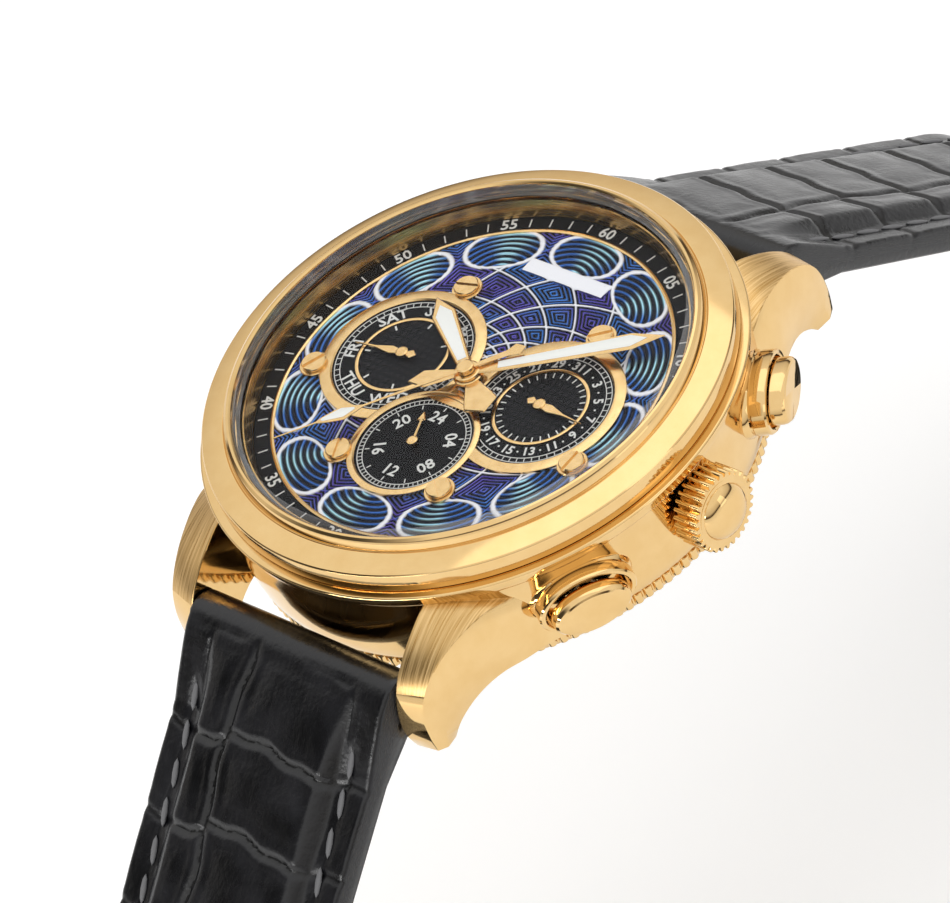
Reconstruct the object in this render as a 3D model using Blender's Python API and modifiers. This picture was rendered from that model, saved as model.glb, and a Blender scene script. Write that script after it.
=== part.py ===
"""A multi-function wristwatch with two pushers, a crown and a leather strap, in metres.

The origin is the middle of the flat outer face of the case back's window. +Z is the dial's normal, +X points to
3 o'clock, where the crown is, and +Y to 12 o'clock. Sizes below are in millimetres.
"""

import math

import bmesh
import bpy
from mathutils import Matrix, Vector

MM = 0.001
FIT = 0.05  # clearance between pieces that seat on each other
RUNNING = 0.06  # radial clearance of a piece that turns or slides in another

# Case, from the back (z = 0) to the crystal.
CASE_R = 22.3
CASE_TOP_R = 22.8
CASE_BOTTOM_Z = 2.2
CASE_TOP_Z = 10.25
RIM_HEIGHT = 0.95
MOVEMENT_BORE_R = 17.2
DIAL_BORE_R = 18.9
DIAL_SEAT_Z = 9.4
BEZEL_R = 22.05
BEZEL_LIP_R = 19.75
BEZEL_SHOULDER_Z = 12.0
BEZEL_TOP_Z = 13.45
CRYSTAL_R = 19.05
CRYSTAL_Z = 12.5
CRYSTAL_TOP_Z = 13.65
GASKET_THICKNESS = 0.2
BACK_R = 21.8
BACK_NECK_R = 17.1
WINDOW_R = 14.45
WINDOW_THICKNESS = 1.0

# Lugs: half the gap between a pair, and the hinge line of each strap half.
LUG_GAP = 11.2
BAR_Y = 24.75
BAR_Z = 3.4
BAR_R = 0.85
BAR_TIP_R = 0.5
BAR_TIP_LENGTH = 1.4

# Dial and its furniture.
TRACK_Z = 10.4
DIAL_R = 18.5
DIAL_FACE_R = 16.45
DIAL_FACE_Z = 10.2
DIAL_UNDERSIDE_Z = 9.45
CHAPTER_INNER_R = 16.85
FRAME_THICKNESS = 0.35
SUBDIAL_X = 7.5
SUBDIAL_OUTER_R = 7.04
SUBDIAL_INNER_R = 6.0
HOURS24_Y = -7.3
HOURS24_OUTER_R = 5.55
HOURS24_INNER_R = 4.95
INNER_RING_R = 3.9
SCREW_R = 1.05
SCREW_PLACES = [(-7.3, 8.0), (7.3, 8.0), (-14.05, -3.8), (14.05, -3.8), (-5.5, -10.4), (5.5, -10.4)]

# Hands: the time shown is 10:09:36, and angles run clockwise from 12.
HOUR_ANGLE, MINUTE_ANGLE, SECOND_ANGLE = 304.3, 54.1, 219.8
DAY_ANGLE, DATE_ANGLE, HOURS24_ANGLE = 262.0, 94.0, 338.0
HOUR_LENGTH, MINUTE_LENGTH, SECOND_LENGTH = 10.2, 16.4, 16.2
SMALL_HAND_LENGTH, HOURS24_HAND_LENGTH = 4.7, 3.2
HOUR_Z, MINUTE_Z, SECOND_Z, SMALL_Z = 11.12, 11.48, 11.84, 10.72
HAND_THICKNESS = 0.2
SECOND_POST_R, MINUTE_PIPE_R, HOUR_PIPE_R = 0.28, 0.56, 0.9
SMALL_POST_R = 0.25
SLEEVE_GAP = 0.06

# Crown and pushers, all on one level.
CONTROL_Z = 5.9
CROWN_R = 3.35
CROWN_X = 22.6
CROWN_RIM_X = 24.9
CROWN_FRONT_X = 25.9
CROWN_FLUTES = 30
CROWN_HOLLOW_R = 2.2
CROWN_HOLLOW_DEPTH = 1.6
STEM_R = 0.6
STEM_INNER_X = 6.0
TUBE_R = 1.5
PUSHER_ANGLE = 30.0
PUSHER_HALF_WIDTH, PUSHER_HALF_HEIGHT = 3.28, 1.84
PUSHER_FACE = 25.3
PUSHER_CAP = 1.7
PUSHER_TRAVEL = 0.9
PUSHER_STEM_R = 0.8
COLLAR_WALL = 0.6
COLLAR_BACK, COLLAR_FRONT = 21.7, 23.9
SLEEVE_R, SLEEVE_INNER = 2.0, 17.5
SPRING_R, SPRING_WIRE_R, SPRING_TURNS = 1.2, 0.18, 4

# Movement.
PLATE_R, PLATE_BOTTOM_Z, PLATE_TOP_Z = 15.2, 6.6, 9.35
BRIDGE_Z, BRIDGE_THICKNESS = 3.3, 0.6
ROTOR_R, ROTOR_RIM_R, ROTOR_BOTTOM_Z, ROTOR_TOP_Z = 14.6, 12.0, 1.7, 2.95
BARREL_AT, BARREL_R = (-9.0, 5.2), 4.7
CENTER_WHEEL_R = 5.5
THIRD_AT, THIRD_R = (3.5, -5.25), 2.75
ESCAPE_AT, ESCAPE_R = (6.4, -7.0), 1.9
BALANCE_AT, BALANCE_R = (8.8, 5.5), 4.3

# Strap. Angles are below the horizontal, lengths run along the middle of the leather.
STRAP_WIDTH_LUG, STRAP_WIDTH_BUCKLE = 22.0, 20.0
STRAP_END_R = 2.15
STRAP_EDGE = 2.2
STRAP_CROWN = 4.2
STRAP_THIN = 2.6
STRAP_BORE_R = 1.0
UPPER_SLOPE, LOWER_SLOPE = 36.2, 40.0
UPPER_PATH = [("line", 42.0), ("arc", 16.0, 90.0), ("line", 20.2)]
LOWER_PATH = [("line", 30.0), ("arc", 30.0, 90.0), ("line", 7.6), ("arc", 16.0, 180.0), ("line", 26.0)]
HOLE_COUNT, HOLE_PITCH, HOLE_FROM_TIP, HOLE_R = 7, 6.5, 24.0, 0.9
BUCKLE_BAR_R = 0.75
BUCKLE_DROP = 9.5
BUCKLE_RAIL = 2.0
BUCKLE_THICKNESS = 2.0
BUCKLE_LEG = 2.0
TONGUE_WIDTH = 2.4
SLOT_WIDTH = 3.0
SLOT_LENGTH = 6.0
KEEPER_WIDTH, KEEPER_WALL, KEEPER_ROOM = 4.5, 1.0, 2.8
KEEPER_FIXED_UP, KEEPER_FREE_UP = 3.2, 9.7

GOLD = (0.80, 0.60, 0.30)
LOOKS = {
    "gold_plated_steel": (GOLD, 0.18, 1.0),
    "dial_gilt": ((0.83, 0.64, 0.34), 0.25, 1.0),
    "crystal": ((0.92, 0.94, 0.97), 0.03, 0.0),
    "gasket_rubber": ((0.03, 0.03, 0.03), 0.6, 0.0),
    "black_dial": ((0.012, 0.012, 0.014), 0.4, 0.0),
    "blue_dial": ((0.02, 0.07, 0.32), 0.35, 0.4),
    "leather": ((0.015, 0.015, 0.017), 0.5, 0.0),
    "steel": ((0.6, 0.6, 0.62), 0.25, 1.0),
    "plated_brass": ((0.62, 0.60, 0.55), 0.3, 1.0),
    "movement_plastic": ((0.7, 0.7, 0.66), 0.5, 0.0),
}


def clear_scene():
    for obj in list(bpy.data.objects):
        bpy.data.objects.remove(obj, do_unlink=True)


clear_scene()
parts = bpy.data.collections.new("parts")
cutters = bpy.data.collections.new("cutters")
bpy.context.scene.collection.children.link(parts)
bpy.context.scene.collection.children.link(cutters)
cutters.hide_render = True


def material(look):
    found = bpy.data.materials.get(look)
    if found:
        return found
    color, roughness, metallic = LOOKS[look]
    made = bpy.data.materials.new(look)
    made.use_nodes = True
    shader = made.node_tree.nodes["Principled BSDF"]
    shader.inputs["Base Color"].default_value = (*color, 1.0)
    shader.inputs["Roughness"].default_value = roughness
    shader.inputs["Metallic"].default_value = metallic
    return made


def finish(obj, look=None, smooth=True):
    """Files an object: with a look it is a part, and without one it is a cutter."""
    for collection in list(obj.users_collection):
        collection.objects.unlink(obj)
    if look:
        parts.objects.link(obj)
        obj.data.materials.append(material(look))
    else:
        cutters.objects.link(obj)
        obj.hide_render = True
        obj.display_type = "WIRE"
    for polygon in obj.data.polygons:
        polygon.use_smooth = smooth
    return obj


def place(obj, at=(0.0, 0.0, 0.0), turn=(0.0, 0.0, 0.0)):
    """Puts an object at a place in millimetres, turned by angles in degrees."""
    obj.location = Vector(at) * MM
    obj.rotation_euler = [math.radians(angle) for angle in turn]
    return obj


def lathe(name, profile, look=None, steps=48, ring=False, at=(0, 0, 0), turn=(0, 0, 0), squeeze=1.0):
    """A turned shape. The profile's (radius, height) points run down its outer side; a ring's profile is a loop."""
    mesh = bpy.data.meshes.new(name)
    points = [(radius * MM, 0.0, height * MM) for radius, height in profile]
    count = len(points)
    edges = [(i, (i + 1) % count) for i in range(count if ring else count - 1)]
    mesh.from_pydata(points, edges, [])
    obj = bpy.data.objects.new(name, mesh)
    bpy.context.scene.collection.objects.link(obj)
    screw = obj.modifiers.new("turned", "SCREW")
    screw.axis = "Z"
    screw.steps = steps
    screw.render_steps = steps
    screw.use_merge_vertices = True
    screw.merge_threshold = 0.00001
    screw.use_smooth_shade = True
    obj.scale = (squeeze, 1.0, 1.0)
    return place(finish(obj, look), at, turn)


def rod(name, radius, low, high, look=None, steps=24, at=(0, 0, 0), turn=(0, 0, 0)):
    """A plain cylinder along its own Z."""
    bpy.ops.mesh.primitive_cylinder_add(vertices=steps, radius=radius * MM, depth=(high - low) * MM)
    obj = bpy.context.object
    obj.name = name
    lifted = Matrix.Translation((0, 0, (low + high) / 2 * MM))
    obj.data.transform(lifted @ Matrix.Rotation(0.03, 4, "Z"))
    return place(finish(obj, look), at, turn)


def box(name, low, high, look=None, at=(0, 0, 0), turn=(0, 0, 0)):
    bpy.ops.mesh.primitive_cube_add(size=1.0)
    obj = bpy.context.object
    obj.name = name
    size = [(b - a) * MM for a, b in zip(low, high)]
    middle = [(a + b) / 2 * MM for a, b in zip(low, high)]
    obj.data.transform(Matrix.Translation(middle) @ Matrix.Diagonal((*size, 1.0)))
    return place(finish(obj, look, smooth=False), at, turn)


def plate(name, outlines, low, high, look=None, at=(0, 0, 0), turn=(0, 0, 0)):
    """A flat piece from closed outlines in XY, the inner ones being holes, between two heights."""
    curve = bpy.data.curves.new(name, "CURVE")
    curve.dimensions = "2D"
    curve.fill_mode = "BOTH"
    curve.extrude = (high - low) / 2 * MM
    for outline in outlines:
        spline = curve.splines.new("POLY")
        spline.points.add(len(outline) - 1)
        for point, (x, y) in zip(spline.points, outline):
            point.co = (x * MM, y * MM, 0.0, 1.0)
        spline.use_cyclic_u = True
    drawn = bpy.data.objects.new(name + "_outline", curve)
    bpy.context.scene.collection.objects.link(drawn)
    bpy.context.view_layer.update()
    graph = bpy.context.evaluated_depsgraph_get()
    mesh = bpy.data.meshes.new_from_object(drawn.evaluated_get(graph))
    bpy.data.objects.remove(drawn, do_unlink=True)
    bpy.data.curves.remove(curve)
    work = bmesh.new()
    work.from_mesh(mesh)
    bmesh.ops.remove_doubles(work, verts=work.verts, dist=0.000001)
    bmesh.ops.translate(work, verts=work.verts, vec=(0, 0, (low + high) / 2 * MM))
    bmesh.ops.recalc_face_normals(work, faces=work.faces)
    work.to_mesh(mesh)
    work.free()
    mesh.name = name
    obj = bpy.data.objects.new(name, mesh)
    bpy.context.scene.collection.objects.link(obj)
    return place(finish(obj, look, smooth=False), at, turn)


def combine(target, other, operation):
    """Joins, cuts or intersects the target with another object, which is filed with the cutters."""
    for collection in list(other.users_collection):
        collection.objects.unlink(other)
    cutters.objects.link(other)
    other.hide_render = True
    other.display_type = "WIRE"
    modifier = target.modifiers.new(other.name, "BOOLEAN")
    modifier.operation = operation
    modifier.solver = "EXACT"
    modifier.object = other
    return target


def cut(target, other):
    return combine(target, other, "DIFFERENCE")


def join(target, other):
    return combine(target, other, "UNION")


def loft(name, sections, look=None):
    """A skin over rings of points with the same count, closed at both ends."""
    work = bmesh.new()
    rings = [[work.verts.new(Vector(point) * MM) for point in section] for section in sections]
    count = len(rings[0])
    for low, high in zip(rings, rings[1:]):
        for i in range(count):
            work.faces.new((low[i], low[(i + 1) % count], high[(i + 1) % count], high[i]))
    work.faces.new(rings[0])
    work.faces.new(rings[-1])
    bmesh.ops.recalc_face_normals(work, faces=work.faces)
    mesh = bpy.data.meshes.new(name)
    work.to_mesh(mesh)
    work.free()
    obj = bpy.data.objects.new(name, mesh)
    bpy.context.scene.collection.objects.link(obj)
    return finish(obj, look)


def mirrored(half):
    """A closed outline from its right half, listed from the bottom to the top."""
    return half + [(-x, y) for x, y in reversed(half) if x > 0]


def wheel_outline(teeth, root, tip):
    """A rim with pointed teeth or rounded flutes."""
    points = []
    for i in range(teeth * 2):
        angle = math.pi * i / teeth
        radius = tip if i % 2 else root
        points.append((radius * math.cos(angle), radius * math.sin(angle)))
    return points


def along_x(x):
    """Location and turn that lay a piece's own Z along +X from x, on the level of the crown."""
    return {"at": (x, 0, CONTROL_Z), "turn": (0, 90, 0)}


# ---------------------------------------------------------------- case


def lug(name, side_x, side_y):
    """One lug: a loft from inside the case out to the tip. Each station holds the upper edge's y, its height on the
    inner and outer faces, the outer face's x, and the lower edge's y and height."""
    stations = [
        (15.4, 9.75, 8.7, 16.3, 14.5, 2.25),
        (17.6, 9.6, 8.5, 15.8, 16.5, 2.25),
        (20.0, 9.15, 8.05, 15.2, 19.0, 2.2),
        (22.2, 7.95, 7.3, 14.6, 20.4, 1.6),
        (24.0, 6.45, 6.2, 14.1, 21.5, 0.7),
        (25.4, 4.8, 4.8, 13.8, 22.3, -0.1),
        (26.2, 2.2, 2.2, 13.6, 22.7, -0.7),
        (25.6, -0.5, -0.5, 13.5, 23.0, -1.2),
    ]
    sections = []
    for top_y, top_inner, top_outer, outer_x, low_y, low_z in stations:
        corners = [(LUG_GAP, top_y, top_inner), (outer_x, top_y, top_outer)]
        corners += [(outer_x, low_y, low_z), (LUG_GAP, low_y, low_z)]
        sections.append([(side_x * x, side_y * y, z) for x, y, z in corners])
    return loft(name, sections)


def make_mid_case():
    wall = [(DIAL_BORE_R, CASE_TOP_Z), (CASE_TOP_R - 0.1, CASE_TOP_Z), (CASE_TOP_R, CASE_TOP_Z - 0.1)]
    wall += [(CASE_TOP_R - 0.1, CASE_TOP_Z - RIM_HEIGHT), (CASE_R + 0.15, CASE_TOP_Z - RIM_HEIGHT - 0.35)]
    wall += [(CASE_R, CASE_BOTTOM_Z), (MOVEMENT_BORE_R, CASE_BOTTOM_Z), (MOVEMENT_BORE_R, DIAL_SEAT_Z)]
    wall += [(DIAL_BORE_R, DIAL_SEAT_Z)]
    case = lathe("mid_case", wall, "gold_plated_steel", 48, ring=True)
    for side_x in (-1, 1):
        for side_y in (-1, 1):
            join(case, lug(f"lug_{side_x}_{side_y}", side_x, side_y))
    groove = [(20.3, CASE_BOTTOM_Z + 0.45), (20.3, CASE_BOTTOM_Z - 1)]
    groove += [(19.3, CASE_BOTTOM_Z - 1), (19.3, CASE_BOTTOM_Z + 0.45)]
    cut(case, lathe("back_groove_cutter", groove, steps=48, ring=True))
    cut(case, rod("crown_tube_cutter", TUBE_R + FIT, 15.0, 24.0, **along_x(0)))
    squeeze = (PUSHER_HALF_HEIGHT + 0.2) / (PUSHER_HALF_WIDTH + 0.2)
    for name, angle in (("upper", PUSHER_ANGLE), ("lower", -PUSHER_ANGLE)):
        turned = {"at": (0, 0, CONTROL_Z), "turn": (0, 90, angle)}
        cut(case, rod(f"pusher_bore_{name}", SLEEVE_R + FIT, 15.0, 24.0, **turned))
        wide = PUSHER_HALF_WIDTH + 0.2 + COLLAR_WALL + 2 * FIT
        seat = [(0, 26.0), (wide, 26.0), (wide, COLLAR_BACK - FIT), (0, COLLAR_BACK - FIT)]
        cut(case, lathe(f"collar_seat_{name}", seat, steps=24, squeeze=squeeze, **turned))
    for side_y in (-1, 1):
        reach = LUG_GAP + BAR_TIP_LENGTH + 0.2
        bar_line = {"at": (0, side_y * BAR_Y, BAR_Z), "turn": (0, 90, 0)}
        cut(case, rod(f"bar_hole_{side_y}", BAR_TIP_R + FIT, -reach, reach, steps=12, **bar_line))


def make_bezel():
    seat_z = CRYSTAL_Z - GASKET_THICKNESS - FIT
    profile = [(CRYSTAL_R + 0.1, BEZEL_TOP_Z - 0.15), (CRYSTAL_R + 0.25, BEZEL_TOP_Z)]
    profile += [(BEZEL_LIP_R, BEZEL_TOP_Z - 0.15), (BEZEL_LIP_R + 0.25, BEZEL_TOP_Z - 0.95)]
    profile += [(BEZEL_LIP_R + 0.5, BEZEL_TOP_Z - 0.85), (BEZEL_R - 0.85, BEZEL_SHOULDER_Z + 0.35)]
    profile += [(BEZEL_R - 0.15, BEZEL_SHOULDER_Z), (BEZEL_R, BEZEL_SHOULDER_Z - 0.25)]
    profile += [(BEZEL_R, CASE_TOP_Z + FIT), (CRYSTAL_R - 0.35, CASE_TOP_Z + FIT)]
    profile += [(CRYSTAL_R - 0.35, seat_z), (CRYSTAL_R + 0.1, seat_z)]
    lathe("bezel", profile, "gold_plated_steel", 48, ring=True)
    glass = [(0, CRYSTAL_TOP_Z), (CRYSTAL_R - 0.7, CRYSTAL_TOP_Z), (CRYSTAL_R, CRYSTAL_TOP_Z - 0.45)]
    glass += [(CRYSTAL_R, CRYSTAL_Z), (0, CRYSTAL_Z)]
    lathe("crystal", glass, "crystal", 40)
    low, high = seat_z + FIT, CRYSTAL_Z - FIT
    gasket = [(CRYSTAL_R, high), (CRYSTAL_R, low), (CRYSTAL_R - 0.3, low), (CRYSTAL_R - 0.3, high)]
    lathe("crystal_gasket", gasket, "gasket_rubber", 28, ring=True)
    wall = [(DIAL_BORE_R - 0.3, seat_z - 0.1), (DIAL_BORE_R - 0.3, TRACK_Z + FIT)]
    wall += [(DIAL_BORE_R - 0.75, TRACK_Z + FIT), (DIAL_BORE_R - 0.45, seat_z - 0.1)]
    lathe("rehaut", wall, "dial_gilt", 40, ring=True)


def make_case_back():
    top = CASE_BOTTOM_Z - 0.08
    seat = WINDOW_R + FIT
    profile = [(BACK_NECK_R, top + 0.8), (BACK_NECK_R, top), (BACK_R, top), (BACK_R, 1.1), (BACK_R - 0.4, 0.75)]
    profile += [(18.6, FIT), (seat, FIT), (seat, WINDOW_THICKNESS + FIT), (WINDOW_R - 1.05, WINDOW_THICKNESS + FIT)]
    profile += [(WINDOW_R - 1.05, 1.35), (BACK_NECK_R - 0.8, 1.35), (BACK_NECK_R - 0.8, top + 0.8)]
    lathe("case_back", profile, "gold_plated_steel", 48, ring=True)
    rod("case_back_crystal", WINDOW_R, 0, WINDOW_THICKNESS, "crystal", 40)
    gasket = [(20.2, CASE_BOTTOM_Z + 0.4), (20.2, top + FIT), (19.4, top + FIT), (19.4, CASE_BOTTOM_Z + 0.4)]
    lathe("case_back_gasket", gasket, "gasket_rubber", 48, ring=True)


# ---------------------------------------------------------------- dial


def make_dial():
    ledge = TRACK_Z - 0.5
    profile = [(0, DIAL_FACE_Z), (DIAL_FACE_R, DIAL_FACE_Z), (DIAL_FACE_R, ledge), (DIAL_R, ledge)]
    profile += [(DIAL_R, DIAL_UNDERSIDE_Z), (0, DIAL_UNDERSIDE_Z)]
    dial = lathe("dial_plate", profile, "blue_dial", 40)
    cut(dial, rod("dial_center_hole", HOUR_PIPE_R + 0.15, 9, 12))
    for x, y in ((-SUBDIAL_X, 0), (SUBDIAL_X, 0), (0, HOURS24_Y)):
        cut(dial, rod(f"dial_post_hole_{x}_{y}", SMALL_POST_R + 0.15, 9, 12, steps=12, at=(x, y, 0)))
    low = ledge + FIT
    gilt = [(CHAPTER_INNER_R - FIT, TRACK_Z + 0.1), (CHAPTER_INNER_R - FIT, low)]
    gilt += [(DIAL_FACE_R + FIT, low), (DIAL_FACE_R + FIT, TRACK_Z + 0.1)]
    lathe("dial_ring", gilt, "dial_gilt", 40, ring=True)
    chapter = [(DIAL_R, TRACK_Z), (DIAL_R, low), (CHAPTER_INNER_R, low), (CHAPTER_INNER_R, TRACK_Z)]
    lathe("chapter_ring", chapter, "black_dial", 40, ring=True)


def make_dial_frame():
    low = DIAL_FACE_Z + FIT
    high = low + FRAME_THICKNESS
    band = [(SUBDIAL_OUTER_R, high), (SUBDIAL_OUTER_R, low), (SUBDIAL_INNER_R, low), (SUBDIAL_INNER_R, high)]
    frame = lathe("dial_frame", band, "dial_gilt", 36, ring=True, at=(-SUBDIAL_X, 0, 0))
    join(frame, lathe("date_frame_ring", band, None, 36, ring=True, at=(SUBDIAL_X, 0, 0)))
    middle = (HOURS24_OUTER_R + HOURS24_INNER_R) / 2
    raised = {"at": (0, HOURS24_Y, 0), "turn": (0, 0, 4)}
    cut(frame, rod("hours24_clearance", middle, low - 1, high + 1, steps=28, **raised))
    band = [(HOURS24_OUTER_R, high + 0.04), (HOURS24_OUTER_R, low + 0.01)]
    band += [(HOURS24_INNER_R, low + 0.01), (HOURS24_INNER_R, high + 0.04)]
    join(frame, lathe("hours24_frame_ring", band, None, 28, ring=True, **raised))
    cut(frame, rod("frame_center_hole", HOUR_PIPE_R + 0.15, low - 1, high + 1))
    for i, (x, y) in enumerate(SCREW_PLACES):
        join(frame, rod(f"frame_tab_{i}", SCREW_R + 0.25, low + 0.02, high - 0.02, steps=12, at=(x, y, 0)))
        cut(frame, rod(f"frame_screw_hole_{i}", 0.5, low - 1, high + 1, steps=8, at=(x, y, 0)))
    disc_top = low + 0.17
    for name, x in (("day", -SUBDIAL_X), ("date", SUBDIAL_X)):
        disc = rod(f"{name}_subdial", SUBDIAL_INNER_R - FIT, low, disc_top, "black_dial", 36, at=(x, 0, 0))
        clear = HOURS24_OUTER_R + FIT
        cut(disc, rod(f"{name}_subdial_clearance", clear, low - 1, high, steps=28, at=(0, HOURS24_Y, 0)))
        cut(disc, rod(f"{name}_subdial_hole", SMALL_POST_R + 0.1, low - 1, high, steps=12, at=(x, 0, 0)))
        ring_low = disc_top + FIT
        ring = [(INNER_RING_R + 0.15, ring_low + 0.1), (INNER_RING_R + 0.15, ring_low)]
        ring += [(INNER_RING_R - 0.15, ring_low), (INNER_RING_R - 0.15, ring_low + 0.1)]
        lathe(f"{name}_ring", ring, "dial_gilt", 28, ring=True, at=(x, 0, 0))
    at = (0, HOURS24_Y, 0)
    disc = rod("hours24_subdial", HOURS24_INNER_R - FIT, low, disc_top, "black_dial", 28, at=at)
    cut(disc, rod("hours24_subdial_hole", SMALL_POST_R + 0.1, low - 1, high, steps=12, at=at))
    for i, (x, y) in enumerate(SCREW_PLACES):
        seat = high + FIT
        profile = [(0, seat + 0.3), (SCREW_R - 0.1, seat + 0.3), (SCREW_R, seat + 0.2), (SCREW_R, seat)]
        profile += [(0.45, seat), (0.45, low + FIT), (0, low + FIT)]
        screw = lathe(f"dial_screw_{i + 1}", profile, "dial_gilt", 12, at=(x, y, 0))
        slot = box(f"dial_screw_slot_{i + 1}", (-2, -0.15, seat + 0.15), (2, 0.15, seat + 1), at=(x, y, 0))
        slot.rotation_euler.z = math.radians(15 + 25 * i)
        cut(screw, slot)


# ---------------------------------------------------------------- hands


def hand(name, outline, low, hub_r, hub_high, pipe, angle, center=(0, 0), look="dial_gilt"):
    """A hand on its pipe or post. pipe is (inner radius, outer radius, bottom); an inner radius of 0 is a post."""
    inner, outer, bottom = pipe
    turned = {"at": (*center, 0), "turn": (0, 0, -angle)}
    made = plate(name, [outline], low, low + HAND_THICKNESS, look, **turned)
    top = low + hub_high
    profile = [(0, top), (hub_r, top), (hub_r, low - FIT), (outer, low - FIT), (outer, bottom), (0, bottom)]
    join(made, lathe(f"{name}_hub", profile, None, 16, **turned))
    if inner > 0:
        cut(made, rod(f"{name}_bore", inner, bottom - 1, top + 1, steps=16, **turned))
    return made


def baton(length, tail):
    """Outline of the hour and minute hands: an arrow tail and a blade that widens before its point."""
    half = [(0, -tail), (1.45, -tail + 1.0), (1.3, -tail + 1.6), (0.5, -0.8), (0.75, 0.9), (0.9, 2.4)]
    half += [(1.28, length - 2.9), (0, length)]
    return mirrored(half)


def make_hands():
    bottom = PLATE_TOP_Z + FIT
    minute_bore = SECOND_POST_R + SLEEVE_GAP
    hour_bore = MINUTE_PIPE_R + SLEEVE_GAP
    hour_pipe = (hour_bore, HOUR_PIPE_R, bottom)
    hand("hour_hand", baton(HOUR_LENGTH, 4.9), HOUR_Z, 1.45, 0.25, hour_pipe, HOUR_ANGLE)
    minute_pipe = (minute_bore, MINUTE_PIPE_R, bottom)
    hand("minute_hand", baton(MINUTE_LENGTH, 5.0), MINUTE_Z, 1.15, 0.25, minute_pipe, MINUTE_ANGLE)
    half = [(0, -5.1), (0.75, -4.3), (0.35, -0.6), (0.3, 0.6), (0.16, 8.6), (0.8, 10.3), (0.3, 12.2)]
    half += [(0.09, 12.6), (0.05, SECOND_LENGTH)]
    second_post = (0, SECOND_POST_R, bottom)
    hand("second_hand", mirrored(half), SECOND_Z, 0.75, 0.42, second_post, SECOND_ANGLE)
    half = [(0, -1.4), (0.42, -0.95), (0.2, -0.5), (0.3, 0.5), (0.42, 1.1), (0.12, 2.6), (0.05, SMALL_HAND_LENGTH)]
    for name, x, angle in (("day", -SUBDIAL_X, DAY_ANGLE), ("date", SUBDIAL_X, DATE_ANGLE)):
        small_post = (0, SMALL_POST_R, DIAL_UNDERSIDE_Z + 0.1)
        hand(f"{name}_hand", mirrored(half), SMALL_Z, 0.55, 0.26, small_post, angle, (x, 0))
    end = HOURS24_HAND_LENGTH
    half = [(0, -0.4), (0.12, -0.2), (0.1, end - 1.0), (0.36, end - 0.95), (0, end)]
    hand("hours24_hand", mirrored(half), SMALL_Z, 0.5, 0.26, small_post, HOURS24_ANGLE, (0, HOURS24_Y))


# ---------------------------------------------------------------- crown and pushers


def make_crown():
    hollow_end = CROWN_X + CROWN_HOLLOW_DEPTH
    outline = wheel_outline(CROWN_FLUTES, CROWN_R - 0.22, CROWN_R)
    crown = plate("crown", [outline], 0, CROWN_RIM_X - CROWN_X, "gold_plated_steel", **along_x(CROWN_X))
    dome_r = CROWN_R - 0.9
    rise = CROWN_FRONT_X - CROWN_RIM_X
    dome = [(0, rise), (dome_r * 0.55, rise * 0.86), (dome_r * 0.85, rise * 0.5), (dome_r, 0), (dome_r, -1), (0, -1)]
    join(crown, lathe("crown_dome", dome, None, 32, **along_x(CROWN_RIM_X)))
    cut(crown, rod("crown_hollow", CROWN_HOLLOW_R, -1, CROWN_HOLLOW_DEPTH, steps=32, **along_x(CROWN_X)))
    rod("winding_stem", STEM_R, STEM_INNER_X, hollow_end - FIT, "steel", 20, **along_x(0))
    tube_end = hollow_end - 0.3
    bore = STEM_R + RUNNING
    tube = [(TUBE_R, tube_end), (TUBE_R, MOVEMENT_BORE_R + FIT), (bore, MOVEMENT_BORE_R + FIT), (bore, tube_end)]
    lathe("crown_tube", tube, "steel", 24, ring=True, **along_x(0))
    gasket_r = (CROWN_HOLLOW_R + TUBE_R) / 2
    thick = (CROWN_HOLLOW_R - TUBE_R) / 2 - FIT
    loop = [(gasket_r + thick * math.cos(a), -thick * math.sin(a)) for a in (math.tau * i / 8 for i in range(8))]
    lathe("crown_gasket", loop, "gasket_rubber", 16, ring=True, **along_x(CROWN_X + 0.5))


def coil(name, radius, wire, length, turns, look, at, turn):
    """An open coil spring along its own Z, from 0 to length."""
    curve = bpy.data.curves.new(name, "CURVE")
    curve.dimensions = "3D"
    curve.bevel_depth = wire * MM
    curve.bevel_resolution = 1
    curve.use_fill_caps = True
    spline = curve.splines.new("POLY")
    count = turns * 8 + 1
    spline.points.add(count - 1)
    for i, point in enumerate(spline.points):
        angle = math.tau * turns * i / (count - 1)
        height = wire + (length - 2 * wire) * i / (count - 1)
        point.co = (radius * math.cos(angle) * MM, radius * math.sin(angle) * MM, height * MM, 1.0)
    obj = bpy.data.objects.new(name, curve)
    parts.objects.link(obj)
    curve.materials.append(material(look))
    return place(obj, at, turn)


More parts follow.
